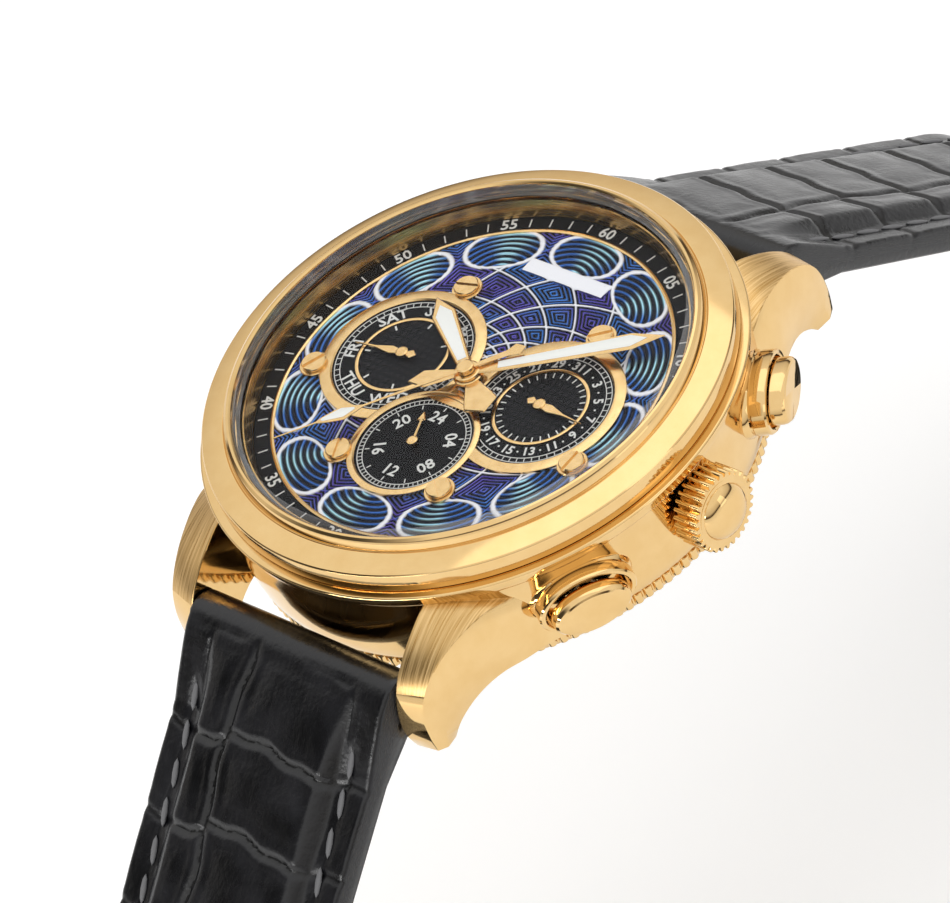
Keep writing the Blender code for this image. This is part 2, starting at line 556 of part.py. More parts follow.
def make_pusher(name, angle):
    turned = {"at": (0, 0, CONTROL_Z), "turn": (0, 90, angle)}
    rear = PUSHER_FACE - PUSHER_CAP
    wide, tall = PUSHER_HALF_WIDTH, PUSHER_HALF_HEIGHT
    cap = [(0, PUSHER_FACE), (wide - 0.2, PUSHER_FACE), (wide, PUSHER_FACE - 0.2), (wide, rear), (0, rear)]
    pusher = lathe(f"pusher_{name}", cap, "gold_plated_steel", 24, squeeze=tall / wide, **turned)
    stem_end = SLEEVE_INNER + 0.7
    join(pusher, rod(f"pusher_stem_{name}", PUSHER_STEM_R, stem_end, rear + 0.5, steps=20, **turned))
    room = wide + 0.2
    outer = room + COLLAR_WALL
    floor = rear - PUSHER_TRAVEL - 0.15
    collar = [(outer - 0.15, COLLAR_FRONT), (outer, COLLAR_FRONT - 0.15), (outer, COLLAR_BACK), (1.5, COLLAR_BACK)]
    collar += [(1.5, floor), (room, floor), (room, COLLAR_FRONT)]
    squeeze = (tall + 0.2) / room
    look = "gold_plated_steel"
    tube = lathe(f"pusher_tube_{name}", collar, look, 24, ring=True, squeeze=squeeze, **turned)
    join(tube, rod(f"pusher_sleeve_{name}", SLEEVE_R, SLEEVE_INNER, COLLAR_BACK + 0.4, steps=20, **turned))
    spring_seat = SLEEVE_INNER + 1.0
    cut(tube, rod(f"pusher_spring_room_{name}", SPRING_R + 0.35, spring_seat, 30, steps=24, **turned))
    cut(tube, rod(f"pusher_stem_bore_{name}", PUSHER_STEM_R + RUNNING, 10, 30, steps=20, **turned))
    length = rear - spring_seat - 2 * FIT
    radians = math.radians(angle)
    start = spring_seat + FIT
    at = (start * math.cos(radians), start * math.sin(radians), CONTROL_Z)
    coil(f"pusher_spring_{name}", SPRING_R, SPRING_WIRE_R, length, SPRING_TURNS, "steel", at, (0, 90, angle))


# ---------------------------------------------------------------- movement


def wheel(name, at, radius, low, high, arbor_r, arbor_high, look="plated_brass", bottom=None):
    """A wheel fixed on its arbor, which runs from the bridge to the main plate."""
    made = rod(name, radius, low, high, look, 28, at=(*at, 0))
    foot = BRIDGE_Z + BRIDGE_THICKNESS + FIT if bottom is None else bottom
    join(made, rod(f"{name}_arbor", arbor_r, foot, arbor_high, steps=12, at=(*at, 0)))
    return made


def bridge_feet(bridge, places):
    for i, (x, y) in enumerate(places):
        join(bridge, rod(f"{bridge.name}_foot_{i}", 0.9, BRIDGE_Z + 0.1, PLATE_BOTTOM_Z - FIT, steps=16, at=(x, y, 0)))


def make_movement():
    ring = [(MOVEMENT_BORE_R - 0.1, PLATE_TOP_Z), (MOVEMENT_BORE_R - 0.1, 3.0)]
    ring += [(PLATE_R + 0.1, 3.0), (PLATE_R + 0.1, PLATE_TOP_Z)]
    holder = lathe("movement_ring", ring, "movement_plastic", 36, ring=True)
    cut(holder, rod("stem_passage", STEM_R + 0.4, 10, 20, steps=16, **along_x(0)))
    main = rod("main_plate", PLATE_R, PLATE_BOTTOM_Z, PLATE_TOP_Z, "plated_brass", 40)
    cut(main, rod("center_passage", 0.6, 0, 20, steps=16))
    arbor_top = PLATE_BOTTOM_Z - FIT
    barrel = wheel("mainspring_barrel", BARREL_AT, BARREL_R - 0.3, 4.2, 6.3, 0.8, arbor_top)
    join(barrel, rod("barrel_rim", BARREL_R, 4.2, 4.6, steps=40, at=(*BARREL_AT, 0)))
    wheel("center_wheel", (0, 0), CENTER_WHEEL_R, 4.3, 4.6, 0.5, PLATE_TOP_Z)
    third = wheel("third_wheel", THIRD_AT, THIRD_R, 4.9, 5.15, 0.3, arbor_top)
    join(third, rod("third_pinion", 0.73, 4.25, 5.0, steps=12, at=(*THIRD_AT, 0)))
    escape = wheel("escape_wheel", ESCAPE_AT, ESCAPE_R, 4.2, 4.4, 0.25, arbor_top, "steel")
    join(escape, rod("escape_pinion", 0.45, 4.3, 5.3, steps=12, at=(*ESCAPE_AT, 0)))
    rim = [(BALANCE_R, 4.8), (BALANCE_R, 4.3), (BALANCE_R - 0.6, 4.3), (BALANCE_R - 0.6, 4.8)]
    balance = lathe("balance_wheel", rim, "dial_gilt", 28, ring=True, at=(*BALANCE_AT, 0))
    reach = BALANCE_R - 0.3
    for i, angle in enumerate((0, 60, 120)):
        spoke = {"at": (*BALANCE_AT, 0), "turn": (0, 0, angle)}
        join(balance, box(f"balance_spoke_{i}", (-reach, -0.2, 4.4), (reach, 0.2, 4.65), **spoke))
    foot = BRIDGE_Z + BRIDGE_THICKNESS + FIT
    join(balance, rod("balance_staff", 0.3, foot, arbor_top, steps=12, at=(*BALANCE_AT, 0)))
    high = BRIDGE_Z + BRIDGE_THICKNESS
    train = rod("train_bridge", PLATE_R - 0.3, BRIDGE_Z, high, "plated_brass", 48)
    cut(train, box("train_bridge_side", (-20, 0.8, 0), (20, 20, 6)))
    join(train, rod("train_bridge_boss", 2.4, BRIDGE_Z + 0.05, high - 0.05, steps=32))
    bridge_feet(train, [(-10, -8), (-1, -12.5), (12.9, -5)])
    barrel_bridge = rod("barrel_bridge", PLATE_R - 0.3, BRIDGE_Z, high, "plated_brass", 48)
    cut(barrel_bridge, box("barrel_bridge_side", (-20, -20, 0), (20, 1.0, 6)))
    cut(barrel_bridge, box("barrel_bridge_end", (-1.0, -20, 0), (20, 20, 6)))
    cut(barrel_bridge, rod("barrel_bridge_bite", 2.6, 0, 6, steps=32))
    bridge_feet(barrel_bridge, [(-2.6, 12.5), (-2.6, 7.6)])
    x, y = BALANCE_AT
    foot_x, foot_y = 3.4, 9.7
    shape = [(foot_x - 1.6, foot_y - 1.4), (x - 1.2, y - 1.2), (x + 0.9, y - 1.1), (x + 1.3, y + 0.6)]
    shape += [(foot_x + 3.2, foot_y + 2.6), (foot_x - 1.4, foot_y + 3.8)]
    cock = plate("balance_cock", [shape], BRIDGE_Z, high, "plated_brass")
    bridge_feet(cock, [(foot_x, foot_y)])


def make_rotor():
    low, high = ROTOR_BOTTOM_Z, ROTOR_TOP_Z
    web = high - 0.3
    profile = [(ROTOR_R, high), (ROTOR_R, low), (ROTOR_RIM_R, low), (ROTOR_RIM_R, web), (2.0, web), (2.0, high)]
    rotor = lathe("rotor", profile, "plated_brass", 48, ring=True)
    cut(rotor, box("rotor_side", (-20, 0, 0), (20, 20, 6)))
    hub = [(2.8, high), (2.8, low + 0.6), (1.0, low + 0.6), (1.0, high)]
    join(rotor, lathe("rotor_hub", hub, None, 24, ring=True))
    axle = [(0, BRIDGE_Z - FIT), (1.0 - RUNNING, BRIDGE_Z - FIT), (1.0 - RUNNING, low + 0.5), (1.9, low + 0.5)]
    axle += [(1.9, low), (0, low)]
    lathe("rotor_axle", axle, "steel", 20)


# ---------------------------------------------------------------- strap


def strap_path(start, side, slope, pieces, step=3.0):
    """Points along the middle of a strap half as (length so far, y, z, angle below the horizontal in radians)."""
    y, z = start
    length, angle = 0.0, math.radians(slope)
    path = [(length, y, z, angle)]
    for piece in pieces:
        if piece[0] == "line":
            count = max(1, round(piece[1] / step))
            run, turn = piece[1] / count, 0.0
        else:
            target = math.radians(piece[2])
            count = max(2, round(piece[1] * (target - angle) / step))
            run, turn = piece[1] * (target - angle) / count, (target - angle) / count
        for _ in range(count):
            middle = angle + turn / 2
            chord = run if turn == 0 else 2 * piece[1] * math.sin(turn / 2)
            y += side * chord * math.cos(middle)
            z -= chord * math.sin(middle)
            angle += turn
            length += run
            path.append((length, y, z, angle))
    return path


def at_length(path, length):
    """The point and angle at a given length, between two points of the path."""
    for near, far in zip(path, path[1:]):
        if near[0] <= length <= far[0]:
            share = (length - near[0]) / (far[0] - near[0])
            return [a + (b - a) * share for a, b in zip(near, far)]
    return list(path[-1])


def blend(low, high, value):
    """0 below low, 1 above high, and a straight ramp between them."""
    return min(1.0, max(0.0, (value - low) / (high - low)))


def strap_section(side, point, total, end_r, tip):
    """Eight corners of the strap at one point: flat below, thin at both edges and crowned in the middle."""
    length, y, z, angle = point
    share = blend(0, total, length)
    half = (STRAP_WIDTH_LUG + (STRAP_WIDTH_BUCKLE - STRAP_WIDTH_LUG) * share) / 2
    settle = blend(1.0, 7.0, length)
    thin = blend(10.0, total - 22.0, length)
    crown = STRAP_CROWN + (STRAP_THIN - STRAP_CROWN) * thin
    edge = STRAP_END_R + (STRAP_EDGE / 2 - STRAP_END_R) * settle
    top = STRAP_END_R + (crown - STRAP_EDGE / 2 - STRAP_END_R) * settle
    below = edge
    if length < 0:
        edge = top = below = math.sqrt(max(STRAP_END_R**2 - length**2, 0.09))
    past = length - total
    if past > 0 and end_r:
        edge = top = below = math.sqrt(max(end_r**2 - past**2, 0.09))
    if tip and length > total - tip:
        half *= math.sqrt(1 - (0.97 * (length - total + tip) / tip) ** 2)
    along = Vector((0, side * math.cos(angle), -math.sin(angle)))
    up = Vector((0, side * math.sin(angle), math.cos(angle)))
    base = Vector((0, y, z))
    if length < 0:
        base += along * length
    if past > 0:
        base += along * past
    shape = [(-half, -below), (half, -below), (half, edge), (half * 0.78, edge), (half * 0.58, top)]
    shape += [(-half * 0.58, top), (-half * 0.78, edge), (-half, edge)]
    return [base + Vector((x, 0, 0)) + up * offset for x, offset in shape]


def end_lengths(radius):
    """Lengths past the middle of a rounded end at which it is sectioned."""
    return [radius * share for share in (0.5, 0.85, 0.99)]


def strap_half(name, side, slope, pieces, end_r, tip):
    path = strap_path((side * BAR_Y, BAR_Z), side, slope, pieces)
    total = path[-1][0]
    first, last = path[0], path[-1]
    points = [(-past, *first[1:]) for past in reversed(end_lengths(STRAP_END_R))]
    points += path
    if end_r:
        points += [(total + past, *last[1:]) for past in end_lengths(end_r)]
    if tip:
        steps = [total - tip * share for share in (0.75, 0.5, 0.3, 0.15, 0.06)]
        points = [p for p in points if p[0] < total - tip] + [at_length(path, s) for s in steps] + [last]
    sections = [strap_section(side, point, total, end_r, tip) for point in points]
    strap = loft(name, sections, "leather")
    bar = {"at": (0, side * BAR_Y, BAR_Z), "turn": (0, 90, 0)}
    cut(strap, rod(f"{name}_bar_tunnel", STRAP_BORE_R, -20, 20, steps=16, **bar))
    return strap, path


def make_strap():
    buckle_end_r = BUCKLE_BAR_R + 0.9
    upper, path = strap_half("strap_upper", 1, UPPER_SLOPE, UPPER_PATH, buckle_end_r, 0)
    _, end_y, end_z, _ = path[-1]
    hinge = (0, end_y, end_z)
    cut(upper, rod("buckle_bar_tunnel", BUCKLE_BAR_R + 0.15, -20, 20, steps=16, at=hinge, turn=(0, 90, 0)))
    slot = SLOT_WIDTH / 2
    cut(upper, box("tongue_slot", (-slot, -5, -5), (slot, 5, SLOT_LENGTH), at=hinge))
    lower, path = strap_half("strap_lower", -1, LOWER_SLOPE, LOWER_PATH, 0, 9.0)
    total = path[-1][0]
    for i in range(HOLE_COUNT):
        _, y, z, angle = at_length(path, total - HOLE_FROM_TIP - HOLE_PITCH * i)
        turned = {"at": (0, y, z), "turn": (math.degrees(angle), 0, 0)}
        cut(lower, rod(f"strap_hole_{i}", HOLE_R, -4, 4, steps=12, **turned))
    return hinge


def make_spring_bars():
    reach = LUG_GAP + BAR_TIP_LENGTH
    body = LUG_GAP - 0.25
    for name, side in (("upper", 1), ("lower", -1)):
        profile = [(0, reach), (BAR_TIP_R, reach), (BAR_TIP_R, body), (BAR_R, body)]
        profile += [(radius, -height) for radius, height in reversed(profile)]
        line = {"at": (0, side * BAR_Y, BAR_Z), "turn": (0, 90, 0)}
        lathe(f"spring_bar_{name}", profile, "steel", 16, **line)


def make_buckle(hinge):
    inner = STRAP_WIDTH_BUCKLE / 2 + 0.35
    outer = inner + BUCKLE_LEG
    rail = BUCKLE_DROP - BUCKLE_RAIL
    top = BUCKLE_BAR_R + 0.9
    outline = [(outer, top), (outer, -BUCKLE_DROP + 0.8), (outer - 0.8, -BUCKLE_DROP)]
    outline += [(-outer + 0.8, -BUCKLE_DROP), (-outer, -BUCKLE_DROP + 0.8), (-outer, top)]
    outline += [(-inner, top), (-inner, -rail), (inner, -rail), (inner, top)]
    half = BUCKLE_THICKNESS / 2
    buckle = plate("buckle", [outline], -half, half, "gold_plated_steel", at=hinge, turn=(90, 0, 0))
    tip = BUCKLE_BAR_R * 0.6
    reach = inner + 1.2
    line = {"at": hinge, "turn": (0, 90, 0)}
    cut(buckle, rod("buckle_bar_holes", tip + FIT, -reach - 0.2, reach + 0.2, steps=12, **line))
    profile = [(0, reach), (tip, reach), (tip, inner - 0.1), (BUCKLE_BAR_R, inner - 0.1)]
    profile += [(radius, -height) for radius, height in reversed(profile)]
    lathe("buckle_bar", profile, "steel", 16, **line)
    wide = TONGUE_WIDTH / 2
    bore = BUCKLE_BAR_R + RUNNING
    eye = bore + 0.6
    rest = half + FIT
    arm = [(eye * 0.6, 0), (rest + 0.9, -rail * 0.6), (rest + 0.8, -BUCKLE_DROP + 0.5), (rest, -BUCKLE_DROP + 0.5)]
    arm += [(rest, -rail + 0.3), (-eye * 0.1, -eye * 0.7)]
    arm = [(-z, y) for y, z in arm]
    tongue = plate("buckle_tongue", [arm], -wide, wide, "gold_plated_steel", **line)
    join(tongue, rod("tongue_eye", eye, -wide, wide, steps=20, **line))
    cut(tongue, rod("tongue_bore", bore, -5, 5, steps=20, **line))
    _, y, z = hinge
    leather = STRAP_THIN - STRAP_EDGE / 2
    inside = [(inner + 0.1, leather + KEEPER_ROOM), (inner + 0.1, -STRAP_EDGE / 2 - 0.4)]
    inside += [(-x, y_) for x, y_ in reversed(inside)]
    outside = [(x + math.copysign(KEEPER_WALL, x), y_ + math.copysign(KEEPER_WALL, y_)) for x, y_ in inside]
    for name, up in (("keeper_fixed", KEEPER_FIXED_UP), ("keeper_free", KEEPER_FREE_UP)):
        plate(name, [outside, inside], 0, KEEPER_WIDTH, "leather", at=(0, y, z + up))


make_mid_case()
make_bezel()
make_case_back()
make_dial()
make_dial_frame()
make_hands()
make_crown()
make_pusher("upper", PUSHER_ANGLE)
make_pusher("lower", -PUSHER_ANGLE)
make_movement()
make_rotor()
buckle_hinge = make_strap()
make_spring_bars()
make_buckle(buckle_hinge)
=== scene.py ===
"""The finished looks of a multi-function wristwatch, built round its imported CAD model.

+Z is the dial's normal, +X points to 3 o'clock and +Y to 12 o'clock. Sizes are in millimetres.
"""

import math

import bmesh
import bpy
import numpy as np
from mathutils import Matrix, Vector


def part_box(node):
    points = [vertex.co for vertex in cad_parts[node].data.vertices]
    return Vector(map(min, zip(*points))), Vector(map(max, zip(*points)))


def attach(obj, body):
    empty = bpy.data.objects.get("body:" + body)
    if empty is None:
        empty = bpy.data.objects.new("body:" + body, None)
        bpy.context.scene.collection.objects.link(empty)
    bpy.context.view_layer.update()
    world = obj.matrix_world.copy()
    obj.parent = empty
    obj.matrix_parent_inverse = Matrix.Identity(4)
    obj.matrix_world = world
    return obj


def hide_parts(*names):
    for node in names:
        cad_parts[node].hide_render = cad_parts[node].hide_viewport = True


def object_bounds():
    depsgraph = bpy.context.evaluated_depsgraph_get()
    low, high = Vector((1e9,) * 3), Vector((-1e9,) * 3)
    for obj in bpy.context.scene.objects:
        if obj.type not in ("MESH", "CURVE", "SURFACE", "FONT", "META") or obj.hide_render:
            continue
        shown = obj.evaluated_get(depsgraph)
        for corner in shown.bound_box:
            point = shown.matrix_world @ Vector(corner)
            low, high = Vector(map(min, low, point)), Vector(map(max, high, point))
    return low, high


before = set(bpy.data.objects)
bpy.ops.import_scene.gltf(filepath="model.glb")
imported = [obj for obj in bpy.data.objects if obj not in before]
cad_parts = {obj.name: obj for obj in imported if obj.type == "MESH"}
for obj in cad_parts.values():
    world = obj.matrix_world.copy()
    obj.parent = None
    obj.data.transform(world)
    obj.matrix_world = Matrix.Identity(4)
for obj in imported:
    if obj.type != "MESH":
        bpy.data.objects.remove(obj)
cad_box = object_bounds()
MM = 0.001


def low(node):
    """A CAD node's lowest corner in millimetres."""
    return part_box(node)[0] / MM


def high(node):
    """A CAD node's highest corner in millimetres."""
    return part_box(node)[1] / MM


# ---------------------------------------------------------------- modelling


def deselect():
    if bpy.context.mode != "OBJECT":
        bpy.ops.object.mode_set(mode="OBJECT")
    bpy.ops.object.select_all(action="DESELECT")


def choose(obj):
    deselect()
    obj.select_set(True)
    bpy.context.view_layer.objects.active = obj


def drawn(name, points, closed=False):
    """A line of points, each extruded from the one before, left selected in edit mode."""
    deselect()
    bpy.ops.mesh.primitive_plane_add(size=MM)
    obj = bpy.context.object
    obj.name = name
    bpy.ops.object.mode_set(mode="EDIT")
    bpy.ops.mesh.merge(type="CENTER")
    places = [Vector(point) * MM for point in points]
    if closed:
        places.append(places[0])
    bpy.ops.transform.translate(value=places[0])
    for here, there in zip(places, places[1:]):
        bpy.ops.mesh.extrude_vertices_move(TRANSFORM_OT_translate={"value": there - here})
    bpy.ops.mesh.select_all(action="SELECT")
    bpy.ops.mesh.remove_doubles(threshold=0.000001)
    return obj


def turned(name, profile, steps=128, ring=False):
    """A (radius, height) profile spun round Z. A ring's profile is a closed loop."""
    obj = drawn(name, [(radius, 0, height) for radius, height in profile], ring)
    bpy.ops.mesh.spin(steps=steps, angle=math.tau, center=(0, 0, 0), axis=(0, 0, 1))
    bpy.ops.mesh.select_all(action="SELECT")
    bpy.ops.mesh.remove_doubles(threshold=0.000001)
    bpy.ops.mesh.normals_make_consistent(inside=False)
    bpy.ops.object.mode_set(mode="OBJECT")
    return obj


def cut_out(name, outline, low_z, high_z):
    """A flat outline filled with one face and extruded upwards."""
    obj = drawn(name, [(x, y, low_z) for x, y in outline], True)
    bpy.ops.mesh.edge_face_add()
    bpy.ops.mesh.extrude_region_move(TRANSFORM_OT_translate={"value": (0, 0, (high_z - low_z) * MM)})
    bpy.ops.mesh.select_all(action="SELECT")
    bpy.ops.mesh.normals_make_consistent(inside=False)
    bpy.ops.object.mode_set(mode="OBJECT")
    return obj


def skinned(name, sections):
    """A skin over closed sections with the same number of points, capped at both ends."""
    work = bmesh.new()
    rings = [[work.verts.new(Vector(point) * MM) for point in section] for section in sections]
    count = len(rings[0])
    for near, far in zip(rings, rings[1:]):
        for i in range(count):
            work.faces.new((near[i], near[(i + 1) % count], far[(i + 1) % count], far[i]))
    work.faces.new(rings[0])
    work.faces.new(rings[-1])
    bmesh.ops.recalc_face_normals(work, faces=work.faces)
    mesh = bpy.data.meshes.new(name)
    work.to_mesh(mesh)
    work.free()
    return shown(name, mesh)


def shown(name, data):
    """A new object in the scene from a mesh, a light or a camera."""
    obj = bpy.data.objects.new(name, data)
    bpy.context.scene.collection.objects.link(obj)
    return obj


def moved(obj, at=(0, 0, 0), turn=(0, 0, 0), scale=(1, 1, 1)):
    """Scales, turns and moves a piece, and leaves the result in its mesh."""
    choose(obj)
    obj.scale = scale
    obj.rotation_euler = [math.radians(angle) for angle in turn]
    obj.location = Vector(at) * MM
    bpy.ops.object.transform_apply(location=True, rotation=True, scale=True)
    return obj


def copied(obj, at=(0, 0, 0), turn=(0, 0, 0), scale=(1, 1, 1)):
    twin = obj.copy()
    twin.data = obj.data.copy()
    bpy.context.scene.collection.objects.link(twin)
    return moved(twin, at, turn, scale)


def block(name, corner, opposite):
    """A box between two corners."""
    deselect()
    bpy.ops.mesh.primitive_cube_add(size=MM)
    obj = bpy.context.object
    obj.name = name
    size = [b - a for a, b in zip(corner, opposite)]
    return moved(obj, [(a + b) / 2 for a, b in zip(corner, opposite)], scale=size)


def joined(name, objects):
    choose(objects[0])
    for obj in objects:
        obj.select_set(True)
    if len(objects) > 1:
        bpy.ops.object.join()
    whole = bpy.context.object
    whole.name = name
    return whole


def ringed(name, obj, angles, center=(0, 0)):
    """Copies of a piece modelled at 12 o'clock, turned clockwise round a center and joined."""
    copies = [copied(obj, (*center, 0), (0, 0, -angle)) for angle in angles]
    bpy.data.objects.remove(obj)
    return joined(name, copies)


def eased(obj, width, segments=2, angle=30):
    """Rounds a piece's hard edges."""
    choose(obj)
    bevel = obj.modifiers.new("edges", "BEVEL")
    bevel.width = width * MM
    bevel.segments = segments
    bevel.limit_method = "ANGLE"
    bevel.angle_limit = math.radians(angle)
    bpy.ops.object.modifier_apply(modifier="edges")
    return obj


def bored(obj, cutter):
    """Cuts one piece out of another."""
    choose(obj)
    hole = obj.modifiers.new("hole", "BOOLEAN")
    hole.operation = "DIFFERENCE"
    hole.solver = "EXACT"
    hole.object = cutter
    bpy.ops.object.modifier_apply(modifier="hole")
    bpy.data.objects.remove(cutter)
    return obj


def finished(obj, body, look, stands_for=(), angle=30):
    """Gives a piece its shading and material, and fixes it to its body."""
    choose(obj)
    bpy.ops.object.shade_smooth_by_angle(angle=math.radians(angle))
    if not obj.data.materials:
        obj.data.materials.append(look)
    else:
        obj.data.materials[0] = look
    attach(obj, body)
    if stands_for:
        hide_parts(*stands_for)
    return obj


# ---------------------------------------------------------------- materials


def rgb(code):
    """A hex sRGB colour as linear values."""
    parts = [int(code[i : i + 2], 16) / 255 for i in (0, 2, 4)]
    return (*[p / 12.92 if p <= 0.04045 else ((p + 0.055) / 1.055) ** 2.4 for p in parts], 1.0)


def material(name, **values):
    """A named material whose Principled shader has these inputs."""
    made = bpy.data.materials.new(name)
    made.use_nodes = True
    shader = made.node_tree.nodes["Principled BSDF"]
    for socket, value in values.items():
        shader.inputs[socket.replace("_", " ")].default_value = value
    return made


def add(look, kind, links=(), into=None, **settings):
    """Adds a node. Links are (input, node, output), into is (node, input), settings are properties or inputs."""
    tree = look.node_tree
    node = tree.nodes.new(kind)
    for key, value in settings.items():
        if hasattr(node, key):
            setattr(node, key, value)
        else:
            node.inputs[key.replace("_", " ")].default_value = value
    for name, source, output in links:
        tree.links.new(source.outputs[output], node.inputs[name])
    if into:
        tree.links.new(node.outputs[0], into[0].inputs[into[1]])
    return node


def shader_of(look):
    return look.node_tree.nodes["Principled BSDF"]


def ramped(node, *stops):
    """Sets a color ramp's stops as (position, hex colour)."""
    ramp = node.color_ramp
    while len(ramp.elements) < len(stops):
        ramp.elements.new(1.0)
    for element, (position, code) in zip(ramp.elements, stops):
        element.position = position
        element.color = rgb(code)
    return node


def bumped(look, height, output, strength, distance):
    """Bump from a height node, with the distance in millimetres."""
    shader = shader_of(look)
    links = [("Height", height, output)]
    return add(look, "ShaderNodeBump", links, (shader, "Normal"), Strength=strength, Distance=distance * MM)


def mottled(look, scale, detail, least, most):
    """Varies a material's roughness by a noise over the piece, and returns the noise."""
    place = add(look, "ShaderNodeTexCoord")
    noise = add(look, "ShaderNodeTexNoise", [("Vector", place, "Object")], Scale=scale, Detail=detail)
    into = (shader_of(look), "Roughness")
    add(look, "ShaderNodeMapRange", [("Value", noise, 0)], into, To_Min=least, To_Max=most)
    return noise


def gold(name, roughness, grain, direction, dark, pale):
    """Gold plate between two tones. Grain spreads the gloss, direction is its scale per metre on each axis."""
    made = material(name, Metallic=1.0)
    shader = shader_of(made)
    place = add(made, "ShaderNodeTexCoord")
    stretch = add(made, "ShaderNodeMapping", [("Vector", place, "Object")], Scale=direction)
    lines = add(made, "ShaderNodeTexNoise", [("Vector", stretch, 0)], Scale=1.0, Detail=3.0, Roughness=0.6)
    spread = {"From_Min": 0.3, "From_Max": 0.7, "To_Min": roughness, "To_Max": roughness + grain}
    add(made, "ShaderNodeMapRange", [("Value", lines, 0)], (shader, "Roughness"), **spread)
    tone = add(made, "ShaderNodeValToRGB", [("Fac", lines, 0)], (shader, "Base Color"))
    ramped(tone, (0.35, dark), (0.65, pale))
    if grain > 0.1:
        bumped(made, lines, 0, 0.3, 0.015)
    return made


# Gold plated 316L steel, mirror polished: wiping marks of about 2 mm vary its gloss slightly.
polished_gold = gold("polished_gold_plated_steel", 0.07, 0.02, (400, 400, 400), "E4BF83", "E8C58B")
# The same steel with a satin grain of 0.15 mm lines running along the lugs.
brushed_gold = gold("brushed_gold_plated_steel", 0.24, 0.2, (7000, 160, 160), "C39A5C", "EFCB90")
# Gilt brass applied to the dial, finely lapped.
gilt = gold("gilt_brass", 0.18, 0.06, (1200, 1200, 1200), "E6C084", "EFCC92")
# The brown-gold inner wall under the glass, turned with fine rings.
wall_gilt = gold("turned_brown_gilt_wall", 0.2, 0.1, (300, 300, 9000), "B08C54", "DDB878")


def make_glass(name, code, metallic, alpha, scale, least, most):
    """Clear glass that lets the dial through and keeps a faint mirror image on top."""
    made = material(name, Base_Color=rgb(code), Metallic=metallic, Alpha=alpha)
    mottled(made, scale, 2.0, least, most)
    return made


def make_enamel():
    """Stamped brass lacquered a translucent blue, with white raised outlines. The grooves are painted near black as
    shade, the crests keep the blue, and the fans carry painted highlights.
    """
    made = material("lacquered_blue_brass", Metallic=0.7)
    shader = shader_of(made)
    read = {key: add(made, "ShaderNodeAttribute", attribute_name=key) for key in ("lacquer_and_highlight", "ridge", "rim",
        "net")}
    turns = add(made, "ShaderNodeMath", [(0, read["ridge"], "Fac")], operation="MULTIPLY")
    turns.inputs[1].default_value = math.tau
    wave = add(made, "ShaderNodeMath", [(0, turns, 0)], operation="COSINE")
    lift = add(made, "ShaderNodeMapRange", [("Value", wave, 0)], From_Min=-0.35, From_Max=1.0)
    edge = add(made, "ShaderNodeMath", [(0, read["rim"], "Fac")], operation="ABSOLUTE")
    outline = add(made, "ShaderNodeMapRange", [("Value", edge, 0)], From_Min=0.1, From_Max=0.19, To_Min=1.0,
        To_Max=0.0)
    limits = {"From_Min": 0.08, "From_Max": 0.16, "To_Min": 1.0, "To_Max": 0.0}
    lattice = add(made, "ShaderNodeMapRange", [("Value", read["net"], "Fac")], **limits)
    white = add(made, "ShaderNodeMath", [(0, outline, 0), (1, lattice, 0)], operation="MAXIMUM")
    # Painted shade: the colour falls to near black in the grooves and rises to the blue on the crests.
    groove_shaded = add(made, "ShaderNodeMix", [(0, lift, 0), (7, read["lacquer_and_highlight"], "Color")], data_type="RGBA")
    groove_shaded.inputs[6].default_value = rgb("020516")
    full = add(made, "ShaderNodeMix", [(0, white, 0), (6, groove_shaded, 2)], data_type="RGBA")
    full.inputs[7].default_value = rgb("F2F4FA")
    made.node_tree.links.new(full.outputs[2], shader.inputs["Base Color"])
    add(made, "ShaderNodeMapRange", [("Value", white, 0)], (shader, "Metallic"), To_Min=0.7, To_Max=0.1)
    height = add(made, "ShaderNodeMath", [(0, lift, 0), (1, white, 0)], operation="MAXIMUM")
    bumped(made, height, 0, 0.7, 0.12)
    mottled(made, 2500.0, 3.0, 0.22, 0.4)
    return made


def make_black(name, weave):
    """Black galvanic dial finish with a fine satin grain, or a woven stamping with 0.33 mm cells."""
    made = material(name, Base_Color=rgb("08080A"), Metallic=0.0, Roughness=0.45, Specular_IOR_Level=0.1)
    place = add(made, "ShaderNodeTexCoord")
    if weave:
        across = add(made, "ShaderNodeTexWave", [("Vector", place, "Object")], Scale=480.0,
            bands_direction="X")
        along = add(made, "ShaderNodeTexWave", [("Vector", place, "Object")], Scale=480.0,
            bands_direction="Y")
        links = [(0, across, 1), (1, along, 1)]
        cells = add(made, "ShaderNodeMath", links, operation="MAXIMUM")
        tone = add(made, "ShaderNodeValToRGB", [("Fac", cells, 0)], (shader_of(made), "Base Color"))
        ramped(tone, (0.45, "1E1E22"), (0.9, "050506"))
        bumped(made, cells, 0, 0.8, 0.05)
    else:
        grain = add(made, "ShaderNodeTexNoise", [("Vector", place, "Object")], Scale=3000.0, Detail=2.0)
        bumped(made, grain, 0, 0.05, 0.005)
    return made


def make_plain(name, code, roughness, metallic=0.0, scale=1500.0, strength=0.1, step=0.01):
    """A plain surface with a fine grain of its own."""
    made = material(name, Base_Color=rgb(code), Roughness=roughness, Metallic=metallic)
    grain = mottled(made, scale, 3.0, max(0.02, roughness - 0.06), roughness + 0.08)
    bumped(made, grain, 0, strength, step)
    return made


# Mineral glass, clear and polished.
glass = make_glass("mineral_glass", "F4F8FF", 1.0, 0.008, 60.0, 0.02, 0.05)
# The ground and polished bevel of the glass, which gathers light as a pale rim: its whitish, less clear look is a
# painted highlight.
glass_rim = make_glass("bevelled_glass_rim", "F2F5FA", 0.6, 0.13, 300.0, 0.08, 0.2)
enamel = make_enamel()
black_satin = make_black("black_galvanic_satin", False)
black_woven = make_black("black_woven_stamping", True)
# Pad-printed white ink, matt and slightly raised.
ink = make_plain("white_pad_print", "DADBD8", 0.55)
